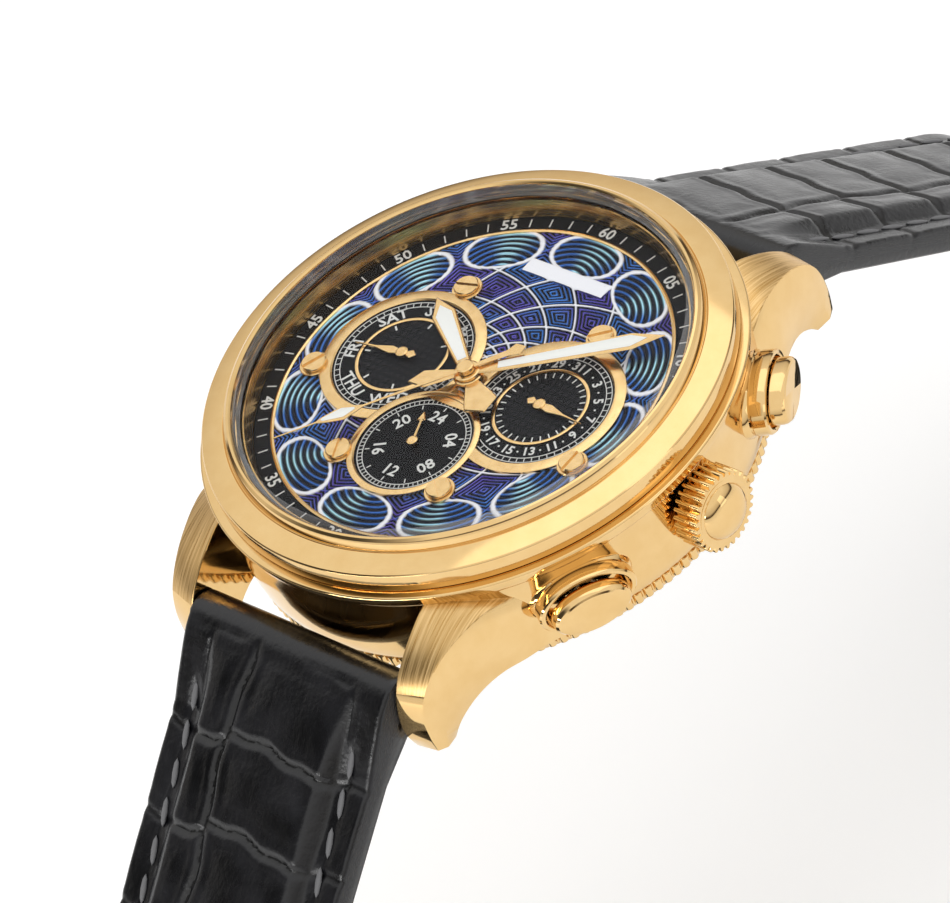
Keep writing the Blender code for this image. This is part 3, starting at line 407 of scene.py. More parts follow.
# Strontium aluminate paint in the hands, off-white with a chalky grain.
lume = make_plain("luminous_paint", "F4F6F2", 0.5, scale=2500.0, strength=0.2)
# Bright turned steel of the stem, bars and axles.
steel = make_plain("turned_steel", "C8C8CC", 0.22, 1.0)
# Rhodium plated brass plates and wheels.
rhodium = make_plain("rhodium_plated_brass", "C9C6BE", 0.26, 1.0, 800.0)
# Nitrile rubber gaskets.
rubber = make_plain("nitrile_rubber", "161616", 0.6)
# Moulded acetal ring round the movement.
acetal = make_plain("moulded_acetal", "C9C7BC", 0.45)
# Waxed polyester thread, dark grey.
thread = make_plain("waxed_grey_thread", "6E6E70", 0.6, 0.0, 3000.0, 0.4, 0.05)


def make_leather():
    """Black waxed calf leather embossed with a crocodile grain, with 0.4 mm creases between scales."""
    made = material("embossed_calf_leather", Specular_IOR_Level=0.5, Coat_Weight=0.1, Coat_Roughness=0.25)
    shader = shader_of(made)
    place = add(made, "ShaderNodeUVMap", uv_map="leather")
    groove = add(made, "ShaderNodeAttribute", attribute_name="groove")
    stretch = add(made, "ShaderNodeMapping", [("Vector", place, 0)], Scale=(110, 1100, 1))
    creases = add(made, "ShaderNodeTexNoise", [("Vector", stretch, 0)], Scale=1.0, Detail=4.0, Roughness=0.55,
        Distortion=0.6)
    pores = add(made, "ShaderNodeTexNoise", [("Vector", place, 0)], Scale=2200.0, Detail=2.0)
    links = [(0, creases, 0), (2, pores, 0)]
    sums = add(made, "ShaderNodeMath", links, operation="MULTIPLY_ADD")
    sums.inputs[1].default_value = 0.9
    bumped(made, sums, 0, 0.55, 0.06)
    patches = add(made, "ShaderNodeTexNoise", [("Vector", place, 0)], Scale=220.0, Detail=3.0)
    tone = ramped(add(made, "ShaderNodeValToRGB", [("Fac", patches, 0)]), (0.35, "040406"), (0.7, "0E0E14"))
    # Painted shade: the grooves between the scales are painted darker, on top of their real depth.
    shade = ramped(add(made, "ShaderNodeValToRGB", [("Fac", groove, "Fac")]), (0.0, "FFFFFF"),
        (1.0, "303030"))
    links = [(6, tone, 0), (7, shade, 0)]
    dark = add(made, "ShaderNodeMix", links, data_type="RGBA", blend_type="MULTIPLY")
    dark.inputs[0].default_value = 1.0
    made.node_tree.links.new(dark.outputs[2], shader.inputs["Base Color"])
    limits = {"From_Min": 0.3, "From_Max": 0.7, "To_Min": 0.2, "To_Max": 0.38}
    add(made, "ShaderNodeMapRange", [("Value", patches, 0)], (shader, "Roughness"), **limits)
    return made


leather = make_leather()


def plated(piece, body="case", stands_for=(), angle=30):
    """Finishes a piece of polished gold plated steel."""
    return finished(piece, body, polished_gold, stands_for, angle)


# ---------------------------------------------------------------- case


def smooth_line(points, count):
    """Evenly numbered points on a Catmull-Rom curve through the given ones."""
    padded = [points[0], *points, points[-1]]
    found = []
    for k in range(count):
        place = k / (count - 1) * (len(points) - 1)
        i = min(int(place), len(points) - 2)
        t = place - i
        a, b, c, d = (np.array(padded[i + j], float) for j in range(4))
        found.append(0.5 * (2 * b + (c - a) * t + (2 * a - 5 * b + 4 * c - d) * t**2 + (3 * b - a - 3 * c + d) * t**3))
    return found


TRACK_Z = high("chapter_ring").z
CASE_TOP = high("mid_case").z
CASE_FOOT = high("case_back").z - 0.8 + 0.08
LUG_GAP = 11.2


def make_case():
    top = CASE_TOP
    profile = [(18.9, top), (22.7, top), (22.83, top - 0.12), (22.64, top - 0.95), (22.42, top - 1.2)]
    profile += [(22.34, 7.5), (22.3, 5.5), (22.2, 3.6), (22.05, 2.6), (21.85, CASE_FOOT), (17.2, CASE_FOOT)]
    profile += [(17.2, 9.4), (18.9, 9.4)]
    body = turned("case_middle", profile, 160, True)
    lugs = []
    inner = [(13.5, 10.1), (17, 9.9), (19.8, 9.25), (21.65, 8.3), (23.6, 6.9), (25.2, 5.15), (26.0, 3.1)]
    inner += [(26.15, 1.0), (25.6, -0.9)]
    outer = [(13, 17.0, 7.6), (15.5, 16.3, 7.95), (17.6, 15.75, 8.4), (20, 15.1, 8.1), (22.6, 14.4, 7.1)]
    outer += [(24.6, 13.95, 5.4), (25.5, 13.7, 3.5), (25.7, 13.6, 1.4), (25.5, 13.5, -0.6)]
    lower = [(12.5, 2.3), (14.5, 2.3), (16.6, 2.3), (18.2, 2.25), (19.6, 1.9), (20.8, 1.3), (21.8, 0.55)]
    lower += [(22.7, -0.3), (23.4, -1.15)]
    flank = [18.6, 17.6, 16.8, 16.0, 15.3, 14.7, 14.2, 13.8, 13.6]
    count = 40
    tops = smooth_line(inner, count)
    sides = smooth_line(outer, count)
    feet = smooth_line(lower, count)
    flanks = smooth_line([(x,) for x in flank], count)
    for side_x in (1, -1):
        for side_y in (1, -1):
            sections = []
            for (top_y, top_z), (y, x, z), (foot_y, foot_z), (wide,) in zip(tops, sides, feet, flanks):
                ring = [(LUG_GAP, top_y, top_z), (x, y, z)]
                middle = ((y + foot_y) / 2 + 0.2, (z + foot_z) / 2)
                ring += [((x + wide) / 2 + 0.25, *middle), (wide - 0.2, foot_y, foot_z),
                    (LUG_GAP, foot_y, foot_z)]
                sections.append([(side_x * px, side_y * py, pz) for px, py, pz in ring])
            lugs.append(eased(skinned("lug", sections), 0.1, 2, 25))
    for lug in lugs:
        lug.data.materials.append(polished_gold)
        lug.data.materials.append(brushed_gold)
        for face in lug.data.polygons:
            upright = face.normal.z > 0.35 and face.center.z / MM > 5.0
            face.material_index = 1 if upright else 0
    plated(joined("case_lugs", lugs), "case", angle=22)
    plated(eased(body, 0.06), "case", ["mid_case"], 24)


def make_bezel():
    top, foot = high("bezel").z, low("bezel").z
    profile = [(19.12, top - 0.12), (19.3, top), (19.5, top - 0.02), (19.72, top - 0.18), (19.86, top - 0.45)]
    profile += [(19.9, top - 1.02), (19.98, top - 1.02), (20.08, top - 0.93), (21.95, top - 1.4),
        (22.07, top - 1.52)]
    profile += [(22.06, foot + 0.1), (21.95, foot), (18.75, foot), (18.75, 12.2), (19.12, 12.2)]
    plated(eased(turned("bezel_ring", profile, 192, True), 0.05, 2, 40), "case", ["bezel"], 24)
    top, foot = high("crystal").z, low("crystal").z
    profile = [(0, top), (18.6, top), (18.6, top - 0.02), (18.6, foot), (0, foot)]
    finished(turned("crystal_pane", profile, 128), "case", glass, ["crystal"])
    profile = [(18.61, top), (18.72, top - 0.06), (19.05, top - 0.35), (19.05, foot), (18.61, foot)]
    finished(turned("crystal_bevel", profile, 160, True), "case", glass_rim)
    profile = [(18.55, 12.15), (18.6, 10.5), (18.2, 10.45), (18.25, 11.0), (18.42, 12.15)]
    finished(turned("rehaut_wall", profile, 160, True), "case", wall_gilt, ["rehaut"])


def make_back():
    neck = high("case_back").z
    top = CASE_FOOT - 0.08
    profile = [(17.1, neck), (17.1, top), (21.5, top), (21.5, 1.05), (21.35, 0.75), (20.6, 0.45),
        (18.7, 0.06)]
    profile += [(18.4, 0.02), (15.4, 0.02), (15.2, 0.12), (14.6, 0.12), (14.5, 1.05), (13.4, 1.05),
        (13.4, 1.35), (16.3, 1.35)]
    profile += [(16.3, neck)]
    ring = turned("case_back_ring", profile, 160, True)
    deselect()
    bpy.ops.mesh.primitive_cylinder_add(vertices=12, radius=0.42 * MM, depth=1.02 * MM)
    rib = moved(bpy.context.object, (0, 21.5, (top + 1.1) / 2))
    rib = eased(rib, 0.1, 2)
    ribs = ringed("coin_edge", rib, [360 / 144 * i for i in range(144)])
    plated(ring, "case", ["case_back"], 24)
    plated(ribs, "case", (), 50)
    screw = turned("back_notch", [(0, 0.5), (0.9, 0.5), (0.9, -0.5), (0, -0.5)], 24)
    notches = ringed("back_notch_cutter", moved(screw, (0, 16.9, -0.05), (0, 0, 0), (1.6, 0.9, 0.5)),
        range(0, 360, 60))
    bored(ring, notches)
    profile = [(0, 1.0), (14.4, 1.0), (14.4, 0.15), (14.25, 0), (0, 0)]
    finished(turned("back_window_pane", profile, 96), "case", glass, ["case_back_crystal"])


# ---------------------------------------------------------------- dial

PETALS = 12
SUBDIAL_X, HOURS24_Y = 7.5, -7.3
SUBDIALS = {"day": (-SUBDIAL_X, 0.0), "date": (SUBDIAL_X, 0.0), "hours24": (0.0, HOURS24_Y)}


def make_relief():
    """The stamped dial: fans at the edge, a lattice of crossing ridges inside, and a blank plaque."""
    base = high("dial_plate").z + 0.01
    deselect()
    cells = 336
    bpy.ops.mesh.primitive_grid_add(x_subdivisions=cells, y_subdivisions=cells, size=33.4 * MM)
    obj = bpy.context.object
    obj.name = "dial_relief"
    hidden = bmesh.new()
    hidden.from_mesh(obj.data)
    outside = []
    for vertex in hidden.verts:
        x, y = vertex.co.x / MM, vertex.co.y / MM
        covered = math.hypot(x, y) > 16.6 or math.hypot(x, y) < 0.95
        covered = covered or math.hypot(abs(x) - SUBDIAL_X, y) < 6.6 or math.hypot(x, y - HOURS24_Y) < 5.1
        if covered:
            outside.append(vertex)
    bmesh.ops.delete(hidden, geom=outside, context="VERTS")
    hidden.to_mesh(obj.data)
    hidden.free()
    mesh = obj.data
    flat = np.zeros(len(mesh.vertices) * 3)
    mesh.vertices.foreach_get("co", flat)
    points = flat.reshape(-1, 3) / MM
    x, y = points[:, 0], points[:, 1]
    radius = np.hypot(x, y)
    angle = np.degrees(np.arctan2(x, y))
    pitch = 360 / PETALS
    nearest = np.round(angle / pitch)
    offset = np.radians(angle - nearest * pitch)
    across, out = radius * np.sin(offset), radius * np.cos(offset)
    oval = (np.abs(across / 3.3) ** 2.3 + np.abs((out - 14.75) / 1.95) ** 2.3) ** (1 / 2.3)
    in_fan = oval < 1.0
    fan = np.hypot(across / 1.25, out - 12.0) / 4.6
    swirl = 15 * np.log(12.4 / np.maximum(radius, 0.5)) / 0.168
    one = (angle + swirl) / pitch
    two = (angle - swirl) / pitch
    near_one = np.abs(one - np.round(one))
    near_two = np.abs(two - np.round(two))
    width = radius * math.radians(pitch) * 0.72
    to_line = np.minimum(near_one, near_two) * width
    net = np.where(in_fan, 1.0, to_line + np.clip(radius - 14.3, 0, 1))
    rim = (oval - 1.0) * 2.1
    plaque = (np.abs(x) < 4.3) & (np.abs(y - 12.2) < 0.75)
    crest = np.where(in_fan, fan * 4.6 / 0.56, to_line / 0.42) * ~plaque
    raised = np.exp(-((np.where(in_fan, rim, np.minimum(np.abs(rim), net)) / 0.15) ** 2))
    height = 0.03 + 0.06 * np.cos(crest * math.tau) * (1 - raised) + 0.14 * raised + 0.2 * np.clip(1 - oval,
        0, 1)
    points[:, 2] = base + np.where(plaque, 0.27, height + 0.05)
    mesh.vertices.foreach_set("co", (points * MM).ravel())
    net = np.where(plaque, 0.0, net)
    highlight_cyan, blue, navy, violet = (np.array(rgb(code)[:3]) for code in ("B4ECFF", "4486DE", "203A94", "7464DC"))
    # Painted highlight: each fan turns pale cyan along the middle of its arcs, where they would catch the light, and
    # dark blue towards its sides.
    bearing = np.arctan2(across, out - 12.0)
    painted_highlight = np.clip(np.cos(bearing * 2.2 - 0.5) * 1.2 - 0.1, 0, 1)[:, None] ** 2
    petal_and_highlight = highlight_cyan * painted_highlight + (blue * 0.6 + navy * 0.4) * (1 - painted_highlight)
    tint = (0.5 + 0.5 * np.sin(np.floor(one) * 2.1 + np.floor(two) * 1.3 + radius * 0.9))[:, None]
    field = blue * tint + violet * (1 - tint) * 0.8
    color = np.where(in_fan[:, None], petal_and_highlight, field)
    # This colour holds the dial's own blues and the painted highlights on the fans.
    layer = mesh.attributes.new("lacquer_and_highlight", "FLOAT_COLOR", "POINT")
    layer.data.foreach_set("color", np.column_stack([np.clip(color, 0, 1), np.ones(len(color))]).ravel())
    for key, values in (("ridge", crest), ("rim", np.where(plaque, 0.0, rim)), ("net", net)):
        mesh.attributes.new(key, "FLOAT", "POINT").data.foreach_set("value", values)
    finished(obj, "case", enamel, ["dial_plate"], 80)


def tick(name, inner, outer, width, z, thick=0.02):
    """One printed mark at 12 o'clock between two radii."""
    return block(name, (-width / 2, inner, z), (width / 2, outer, z + thick))


def washer(name, outer, inner, top, bottom, steps):
    """A flat ring with square edges."""
    return turned(name, [(outer, top), (outer, bottom), (inner, bottom), (inner, top)], steps, True)


def ring_line(name, radius, width, z, center=(0, 0), thick=0.02, steps=96):
    """A thin printed or applied circle."""
    return moved(washer(name, radius + width / 2, radius - width / 2, z + thick, z, steps), (*center, 0))


def lettered(name, marks, size, z, center=(0, 0)):
    """Printed words as (text, angle, radius), tops outward above the middle and inward below it."""
    made = []
    for text, angle, radius in marks:
        turn = -angle if math.cos(math.radians(angle)) > -0.25 else 180 - angle
        deselect()
        bpy.ops.object.text_add()
        words = bpy.context.object
        words.data.body = text
        words.data.align_x = "CENTER"
        words.data.align_y = "CENTER"
        words.data.size = size * MM
        words.data.extrude = 0.01 * MM
        words.data.offset = 0.025 * MM
        words.data.resolution_u = 2
        bpy.ops.object.convert(target="MESH")
        a = math.radians(angle)
        at = (center[0] + radius * math.sin(a), center[1] + radius * math.cos(a), z + 0.01)
        made.append(moved(bpy.context.object, at, (0, 0, turn)))
    return joined(name, made)


def make_tracks():
    z = TRACK_Z + 0.005
    disc = washer("chapter_disc", 18.45, 16.85, TRACK_Z, 9.95, 128)
    finished(disc, "case", black_satin, ["chapter_ring"])
    marks = ringed("minute_marks", tick("mark", 17.1, 17.95, 0.11, z), [6 * i for i in range(60) if i % 5])
    printed(marks)
    numerals = [(f"{5 * i:02d}", 30 * i, 17.5) for i in range(1, 13)]
    printed(lettered("minute_numerals", numerals, 1.5, z))
    profile = [(16.8, 10.48), (16.8, 9.95), (16.5, 9.95), (16.5, 10.48), (16.65, 10.55)]
    finished(turned("gilt_ring", profile, 160, True), "case", gilt, ["dial_ring"])


def clear_of_hours24(piece, radius):
    """Cuts the 24-hour sub-dial's room out of a piece. The cutter is a degree off, so no facets meet."""
    cutter = turned("cutter", [(0, 12), (radius, 12), (radius, 9), (0, 9)], 96)
    return bored(piece, moved(cutter, (*SUBDIALS["hours24"], 0), (0, 0, 1)))


def printed(piece):
    """Finishes a mark in white ink on the dial."""
    return finished(piece, "case", ink)


def print_marks(dial, inner, outer, width, z, angles):
    """Prints a sub-dial's marks between two radii."""
    marks = ringed(f"{dial}_marks", tick("mark", inner, outer, width, z), angles)
    printed(moved(marks, (*SUBDIALS[dial], 0)))


def make_frame_ring():
    bottom, top = low("dial_frame").z, high("dial_frame").z
    rings = []
    for name, (x, y) in SUBDIALS.items():
        small = name == "hours24"
        outer, inner = (5.55, 4.95) if small else (7.04, 6.0)
        lift = 0.04 if small else 0.0
        profile = [(outer, top - 0.05 + lift), (outer, bottom), (inner, bottom), (inner, top - 0.12 + lift)]
        profile += [(inner + 0.12, top + lift), (outer - 0.1, top + lift)]
        ring = moved(turned(f"{name}_frame", profile, 128, True), (x, y, 0))
        if not small:
            clear_of_hours24(ring, 5.2)
        rings.append(ring)
    center = turned("cutter", [(0, 12), (1.06, 12), (1.06, 9), (0, 9)], 48)
    for ring in rings[:2]:
        bored(ring, copied(center, turn=(0, 0, 2)))
    bpy.data.objects.remove(center)
    web = cut_out("frame_web", [(-1.5, -1.3), (1.5, -1.3), (2.6, -2.9), (-2.6, -2.9)], bottom, top - 0.03)
    rings.append(web)
    for i in range(1, 7):
        corner_a, corner_b = low(f"dial_screw_{i}"), high(f"dial_screw_{i}")
        x, y = (corner_a.x + corner_b.x) / 2, (corner_a.y + corner_b.y) / 2
        tab = turned("tab", [(0, top - 0.03), (1.25, top - 0.03), (1.3, top - 0.1), (1.3, bottom),
            (0, bottom)], 48)
        rings.append(moved(tab, (x, y, 0)))
        seat, crest = top + 0.01, corner_b.z
        profile = [(0, crest), (0.97, crest), (1.05, crest - 0.08), (1.05, seat), (0, seat)]
        head = turned(f"dial_screw_head_{i}", profile, 48)
        slot = block("slot", (-2, -0.18, crest - 0.15), (2, 0.18, crest + 0.15))
        bored(head, moved(slot, turn=(0, 0, 15 + 25 * (i - 1))))
        finished(moved(head, (x, y, 0)), "case", gilt, [f"dial_screw_{i}"])
    finished(joined("dial_frame_rings", rings), "case", gilt, ["dial_frame"])


def make_subdials():
    bottom, top = low("day_subdial").z, high("day_subdial").z
    z = top + 0.005
    for name, (x, y) in SUBDIALS.items():
        small = name == "hours24"
        outer = 4.93 if small else 5.98
        disc = moved(washer(f"{name}_disc", outer, 0.35, top, bottom, 96), (x, y, 0))
        if not small:
            clear_of_hours24(disc, 5.5)
        finished(disc, "case", black_satin, [f"{name}_subdial"])
        edge, inner = (4.72, 4.3) if small else (5.82, 5.36)
        track = [ring_line(f"{name}_line", radius, 0.07, z, (x, y)) for radius in (edge, inner)]
        count, width = (72, 0.06) if small else (56, 0.07)
        around = [360 / count * i for i in range(count)]
        if not small:
            for line in track:
                clear_of_hours24(line, 5.6)
            turns = [(a, math.radians(a)) for a in around]
            around = [a for a, t in turns if math.hypot(x + edge * math.sin(t),
                y + edge * math.cos(t) - HOURS24_Y) > 5.65]
        sleepers = moved(ringed("sleepers", tick("sleeper", inner, edge, width, z), around), (x, y, 0))
        track = joined(f"{name}_track", [*track, sleepers])
        if not small:
            profile = [(3.78, top + 0.012), (3.78, top - 0.02), (0.4, top - 0.02), (0.4, top + 0.012)]
            weave = moved(turned(f"{name}_woven_center", profile, 96, True), (x, y, 0))
            clear_of_hours24(weave, 5.6)
            finished(weave, "case", black_woven)
            profile = [(4.04, top + 0.13), (4.04, top), (3.78, top), (3.78, top + 0.13), (3.91, top + 0.16)]
            ring = moved(turned(f"{name}_gilt_circle", profile, 96, True), (x, y, 0))
            clear_of_hours24(ring, 5.5)
            finished(ring, "case", gilt, [f"{name}_ring"])
        printed(track)
    center = SUBDIALS["day"]
    names = ["SUN", "MON", "TUE", "WED", "THU", "FRI", "SAT"]
    days = [(day, 360 / 7 * i, 4.72) for i, day in enumerate(names)]
    printed(lettered("day_names", days, 1.5, z, center))
    print_marks("day", 3.15, 3.65, 0.16, z + 0.015, [360 / 7 * i for i in range(7)])
    center = SUBDIALS["date"]
    turn = 360 / 31
    dates = [(str(n), 13 + (n - 1) * turn, 4.7) for n in range(1, 32, 2)]
    printed(lettered("date_numerals", dates, 1.15, z, center))
    deselect()
    bpy.ops.mesh.primitive_cylinder_add(vertices=10, radius=0.09 * MM, depth=0.02 * MM)
    dot = moved(bpy.context.object, (0, 4.7, z + 0.01))
    dots = ringed("date_dots", dot, [13 + (n - 1) * turn for n in range(2, 31, 2)])
    printed(moved(dots, (*center, 0)))
    print_marks("date", 3.2, 3.68, 0.1, z + 0.015, [13 + n * turn for n in range(31)])
    center = SUBDIALS["hours24"]
    hours = [(f"{4 * i:02d}" if i else "24", 60 * i, 3.0) for i in range(6)]
    printed(lettered("hours24_numerals", hours, 1.5, z, center))
    print_marks("hours24", 3.75, 4.15, 0.09, z, [30 * i for i in range(12)])


# ---------------------------------------------------------------- hands


def both_sides(half):
    """A closed outline from its right half, listed from the tail to the tip."""
    return half + [(-x, y) for x, y in reversed(half) if x > 0]


def make_hand(name, outline, thickness, hub_r, hub_high, angle, center, strip=None):
    """A gilt hand with bevelled edges and a turned hub, and a strip of luminous paint if it has one."""
    z = high(name).z - hub_high
    blade = cut_out(f"{name}_blade", outline, z, z + thickness)
    blade = eased(blade, 0.09, 1, 30)
    profile = [(0, z + hub_high), (hub_r - 0.12, z + hub_high), (hub_r, z + hub_high - 0.06),
        (hub_r, z - 0.05)]
    profile += [(0.3, z - 0.05), (0.3, z - 0.4), (0, z - 0.4)]
    hub = turned("hub", profile, 48)
    whole = moved(joined(f"{name}_gilt", [blade, hub]), (*center, 0), (0, 0, -angle))
    finished(whole, name, gilt, [name], 20)
    if strip:
        paint = cut_out(f"{name}_lume", strip, z + thickness - 0.02, z + thickness + 0.04)
        paint = moved(eased(paint, 0.03, 2), (*center, 0), (0, 0, -angle))
        finished(paint, name, lume)


def make_hands():
    half = [(0, -4.9), (1.42, -3.8), (1.25, -3.1), (0.42, -0.6), (0.5, 0.8), (0.62, 2.0), (1.02, 7.9),
        (0, 10.2)]
    strip = both_sides([(0, 1.9), (0.38, 1.9), (0.7, 7.8), (0, 9.0)])[1:]
    make_hand("hour_hand", both_sides(half), 0.2, 1.25, 0.25, 304.3, (0, 0), strip)
    half = [(0, -5.0), (0.95, -3.6), (0.85, -3.0), (0.36, -0.6), (0.45, 0.8), (0.62, 2.2), (0.9, 13.6),
        (0, 16.4)]
    strip = both_sides([(0, 2.6), (0.36, 2.6), (0.62, 13.5), (0, 14.9)])[1:]
    make_hand("minute_hand", both_sides(half), 0.2, 1.1, 0.25, 54.1, (0, 0), strip)
    half = [(0, -5.1), (0.7, -4.4), (0.32, -3.6), (0.16, -0.6), (0.16, 0.6), (0.1, 8.6), (0.78, 10.3)]
    half += [(0.3, 12.2), (0.08, 12.6), (0.05, 16.2)]
    strip = both_sides([(0, 9.3), (0.1, 9.3), (0.52, 10.35), (0.18, 12.0), (0, 12.2)])[1:]
    make_hand("second_hand", both_sides(half), 0.15, 0.72, 0.42, 219.8, (0, 0), strip)
    half = [(0, -1.4), (0.42, -0.95), (0.2, -0.5), (0.3, 0.5), (0.42, 1.1), (0.12, 2.6), (0.04, 4.7)]
    make_hand("day_hand", both_sides(half), 0.16, 0.52, 0.26, 262, SUBDIALS["day"])
    make_hand("date_hand", both_sides(half), 0.16, 0.52, 0.26, 94, SUBDIALS["date"])
    half = [(0, -0.4), (0.12, -0.2), (0.1, 2.2), (0.38, 2.2), (0, 3.2)]
    make_hand("hours24_hand", both_sides(half), 0.16, 0.45, 0.26, 338, SUBDIALS["hours24"])


# ---------------------------------------------------------------- crown and pushers

CONTROL_Z = (low("crown").z + high("crown").z) / 2


def make_crown():
    back = low("crown").x
    rim = back + 2.35
    front = high("crown").x
    sideways = {"at": (0, 0, CONTROL_Z), "turn": (0, 90, 0)}
    points = []
    flutes, steps = 30, 10
    for i in range(flutes * steps):
        wave = abs(math.cos(math.pi * i / steps))
        radius = 3.34 - 0.46 * wave**4
        a = math.tau * i / (flutes * steps)
        points.append((radius * math.cos(a), radius * math.sin(a)))
    grip = eased(cut_out("crown_grip", points, back, rim), 0.1, 2, 80)
    profile = [(0, front), (0.9, front - 0.05), (1.6, front - 0.24), (2.05, front - 0.52), (2.3, front - 0.9)]
    profile += [(2.35, rim - 0.1), (2.5, rim - 0.12), (2.75, rim + 0.02), (2.95, rim), (2.95, rim - 0.4),
        (0, rim - 0.4)]
    dome = turned("crown_dome", profile, 96)
    crown = moved(joined("crown_knob", [grip, dome]), **sideways)
    plated(crown, "crown", ["crown"], 35)


PUSHER_FACE, PUSHER_ANGLE = 25.3, 30.0
PUSHER_WIDE, PUSHER_HIGH = 3.28, 1.84


def make_pushers():
    for name, angle in (("upper", PUSHER_ANGLE), ("lower", -PUSHER_ANGLE)):
        face = PUSHER_FACE
        placed = {"at": (0, 0, CONTROL_Z), "turn": (0, 90, angle)}
        flat = PUSHER_HIGH / PUSHER_WIDE
        profile = [(0, face), (2.75, face - 0.02), (3.0, face - 0.1), (3.2, face - 0.3), (3.28, face - 0.55)]
        profile += [(3.28, face - 1.3), (3.2, face - 1.4), (3.0, face - 1.45), (0, face - 1.45)]
        cap = moved(turned(f"pusher_{name}_cap", profile, 96), scale=(flat, 1, 1))
        profile = [(2.6, face - 1.4), (2.6, face - 1.75), (0, face - 1.75)]
        neck = moved(turned("neck", [(0, face - 1.4), *profile], 64), scale=(flat, 1, 1))
        stem = turned("stem", [(0, face - 1.7), (0.8, face - 1.7), (0.8, 18.3), (0, 18.3)], 32)
        pusher = moved(joined(f"pusher_{name}_button", [cap, neck, stem]), **placed)
        plated(pusher, f"pusher_{name}", [f"pusher_{name}"], 24)
        front = 23.9
        profile = [(3.52, front - 0.1), (3.64, front), (3.95, front - 0.03), (4.08, front - 0.18),
            (4.1, front - 1.2)]
        profile += [(4.02, front - 1.32), (4.02, front - 1.5), (4.25, front - 1.75), (4.4, 21.6), (1.5, 21.6)]
        profile += [(1.5, 22.5), (3.52, 22.5)]
        collar = moved(turned(f"pusher_{name}_collar", profile, 96, True), scale=(2.04 / 3.48, 1, 1))
        plated(moved(collar, **placed), "case", [f"pusher_tube_{name}"], 30)


make_case()
make_bezel()
make_back()
make_relief()
make_tracks()
make_frame_ring()
make_subdials()
make_hands()
make_crown()
make_pushers()

# ---------------------------------------------------------------- strap

BAR_Y = (high("spring_bar_upper").y + low("spring_bar_upper").y) / 2
BAR_Z = (high("spring_bar_upper").z + low("spring_bar_upper").z) / 2
HINGE = [(a + b) / 2 for a, b in zip(low("buckle_bar"), high("buckle_bar"))]
STRAP_END_R, STITCH_PITCH, SCALE_PITCH = 2.15, 3.2, 7.9
HOLE_COUNT, HOLE_PITCH, HOLE_FROM_TIP, HOLE_R = 7, 6.5, 24, 0.9
UPPER_RUN = [("line", 42.0), ("arc", 16.0, 90.0), ("line", 20.2)]
LOWER_RUN = [("line", 30.0), ("arc", 30.0, 90.0), ("line", 7.6), ("arc", 16.0, 180.0), ("line", 26.0)]


def strap_line(side, slope, runs, step=0.25):
    """The middle line of a strap half as rows of length, y, z and angle below the horizontal."""
    y, z = side * BAR_Y, BAR_Z
    length, angle = 0.0, math.radians(slope)
    rows = [(length, y, z, angle)]
    for run in runs:
        bend = 0.0 if run[0] == "line" else math.radians(run[2]) - angle
        total = run[1] if run[0] == "line" else run[1] * bend
        count = round(total / step)
        turn = bend / count
        chord = total / count if turn == 0 else 2 * run[1] * math.sin(turn / 2)
        for _ in range(count):
            middle = angle + turn / 2
            y += side * chord * math.cos(middle)
            z -= chord * math.sin(middle)
            angle += turn
            length += total / count
            rows.append((length, y, z, angle))
    return np.array(rows)


def ramp(start, end, value):
    """0 before start, 1 after end, and a straight ramp between them."""
    return np.clip((value - start) / (end - start), 0, 1)


def strap_sizes(length, total):
    """Half width, depth below the middle line, margin height and pad height at a length."""
    half = 11 - ramp(0, total, length)
    settle = ramp(1, 7, length)
    pad = 4.2 - 1.6 * ramp(10, total - 22, length)
    below = STRAP_END_R - 1.05 * settle
    return half, below, below, STRAP_END_R + (pad - 1.1 - STRAP_END_R) * settle


def scale_relief(length, x, seed):
    """How deep the grooves between the crocodile scales are, from 0 to 1, and how high each scale swells."""
    seam = 3.3 * np.where(seed > 1, -1, 1) + 0.35 * np.sin(length * 0.31 + seed) + 0.12 * np.sin(length * 1.1)
    column = np.where(x < seam, 0, 1)
    wave = 0.4 * np.sin(x * 0.45 + seed) + 0.15 * np.sin(x * 1.5 + seed * 3 + column)
    along = (length + wave + 0.5 * column) / SCALE_PITCH
    row = np.round(along)
    jitter = 0.35 * np.sin(row * 2.3 + column * 1.3 + seed)
    cross = np.abs((along - row) * SCALE_PITCH + jitter)
    side = np.minimum(np.abs(x - seam), np.abs(np.abs(x) - 7.7 - 0.15 * np.sin(length * 0.7)) + 0.12)
    groove = np.maximum(np.exp(-((cross / 0.26) ** 2)), 0.85 * np.exp(-((side / 0.22) ** 2)))
    nearest = np.minimum(cross, side)
    swell = 1.3 - 1.3 * np.exp(-((nearest / 2.0) ** 2))
    swell += 0.5 * np.exp(-(((nearest - 0.75) / 0.4) ** 2))
    return groove, swell


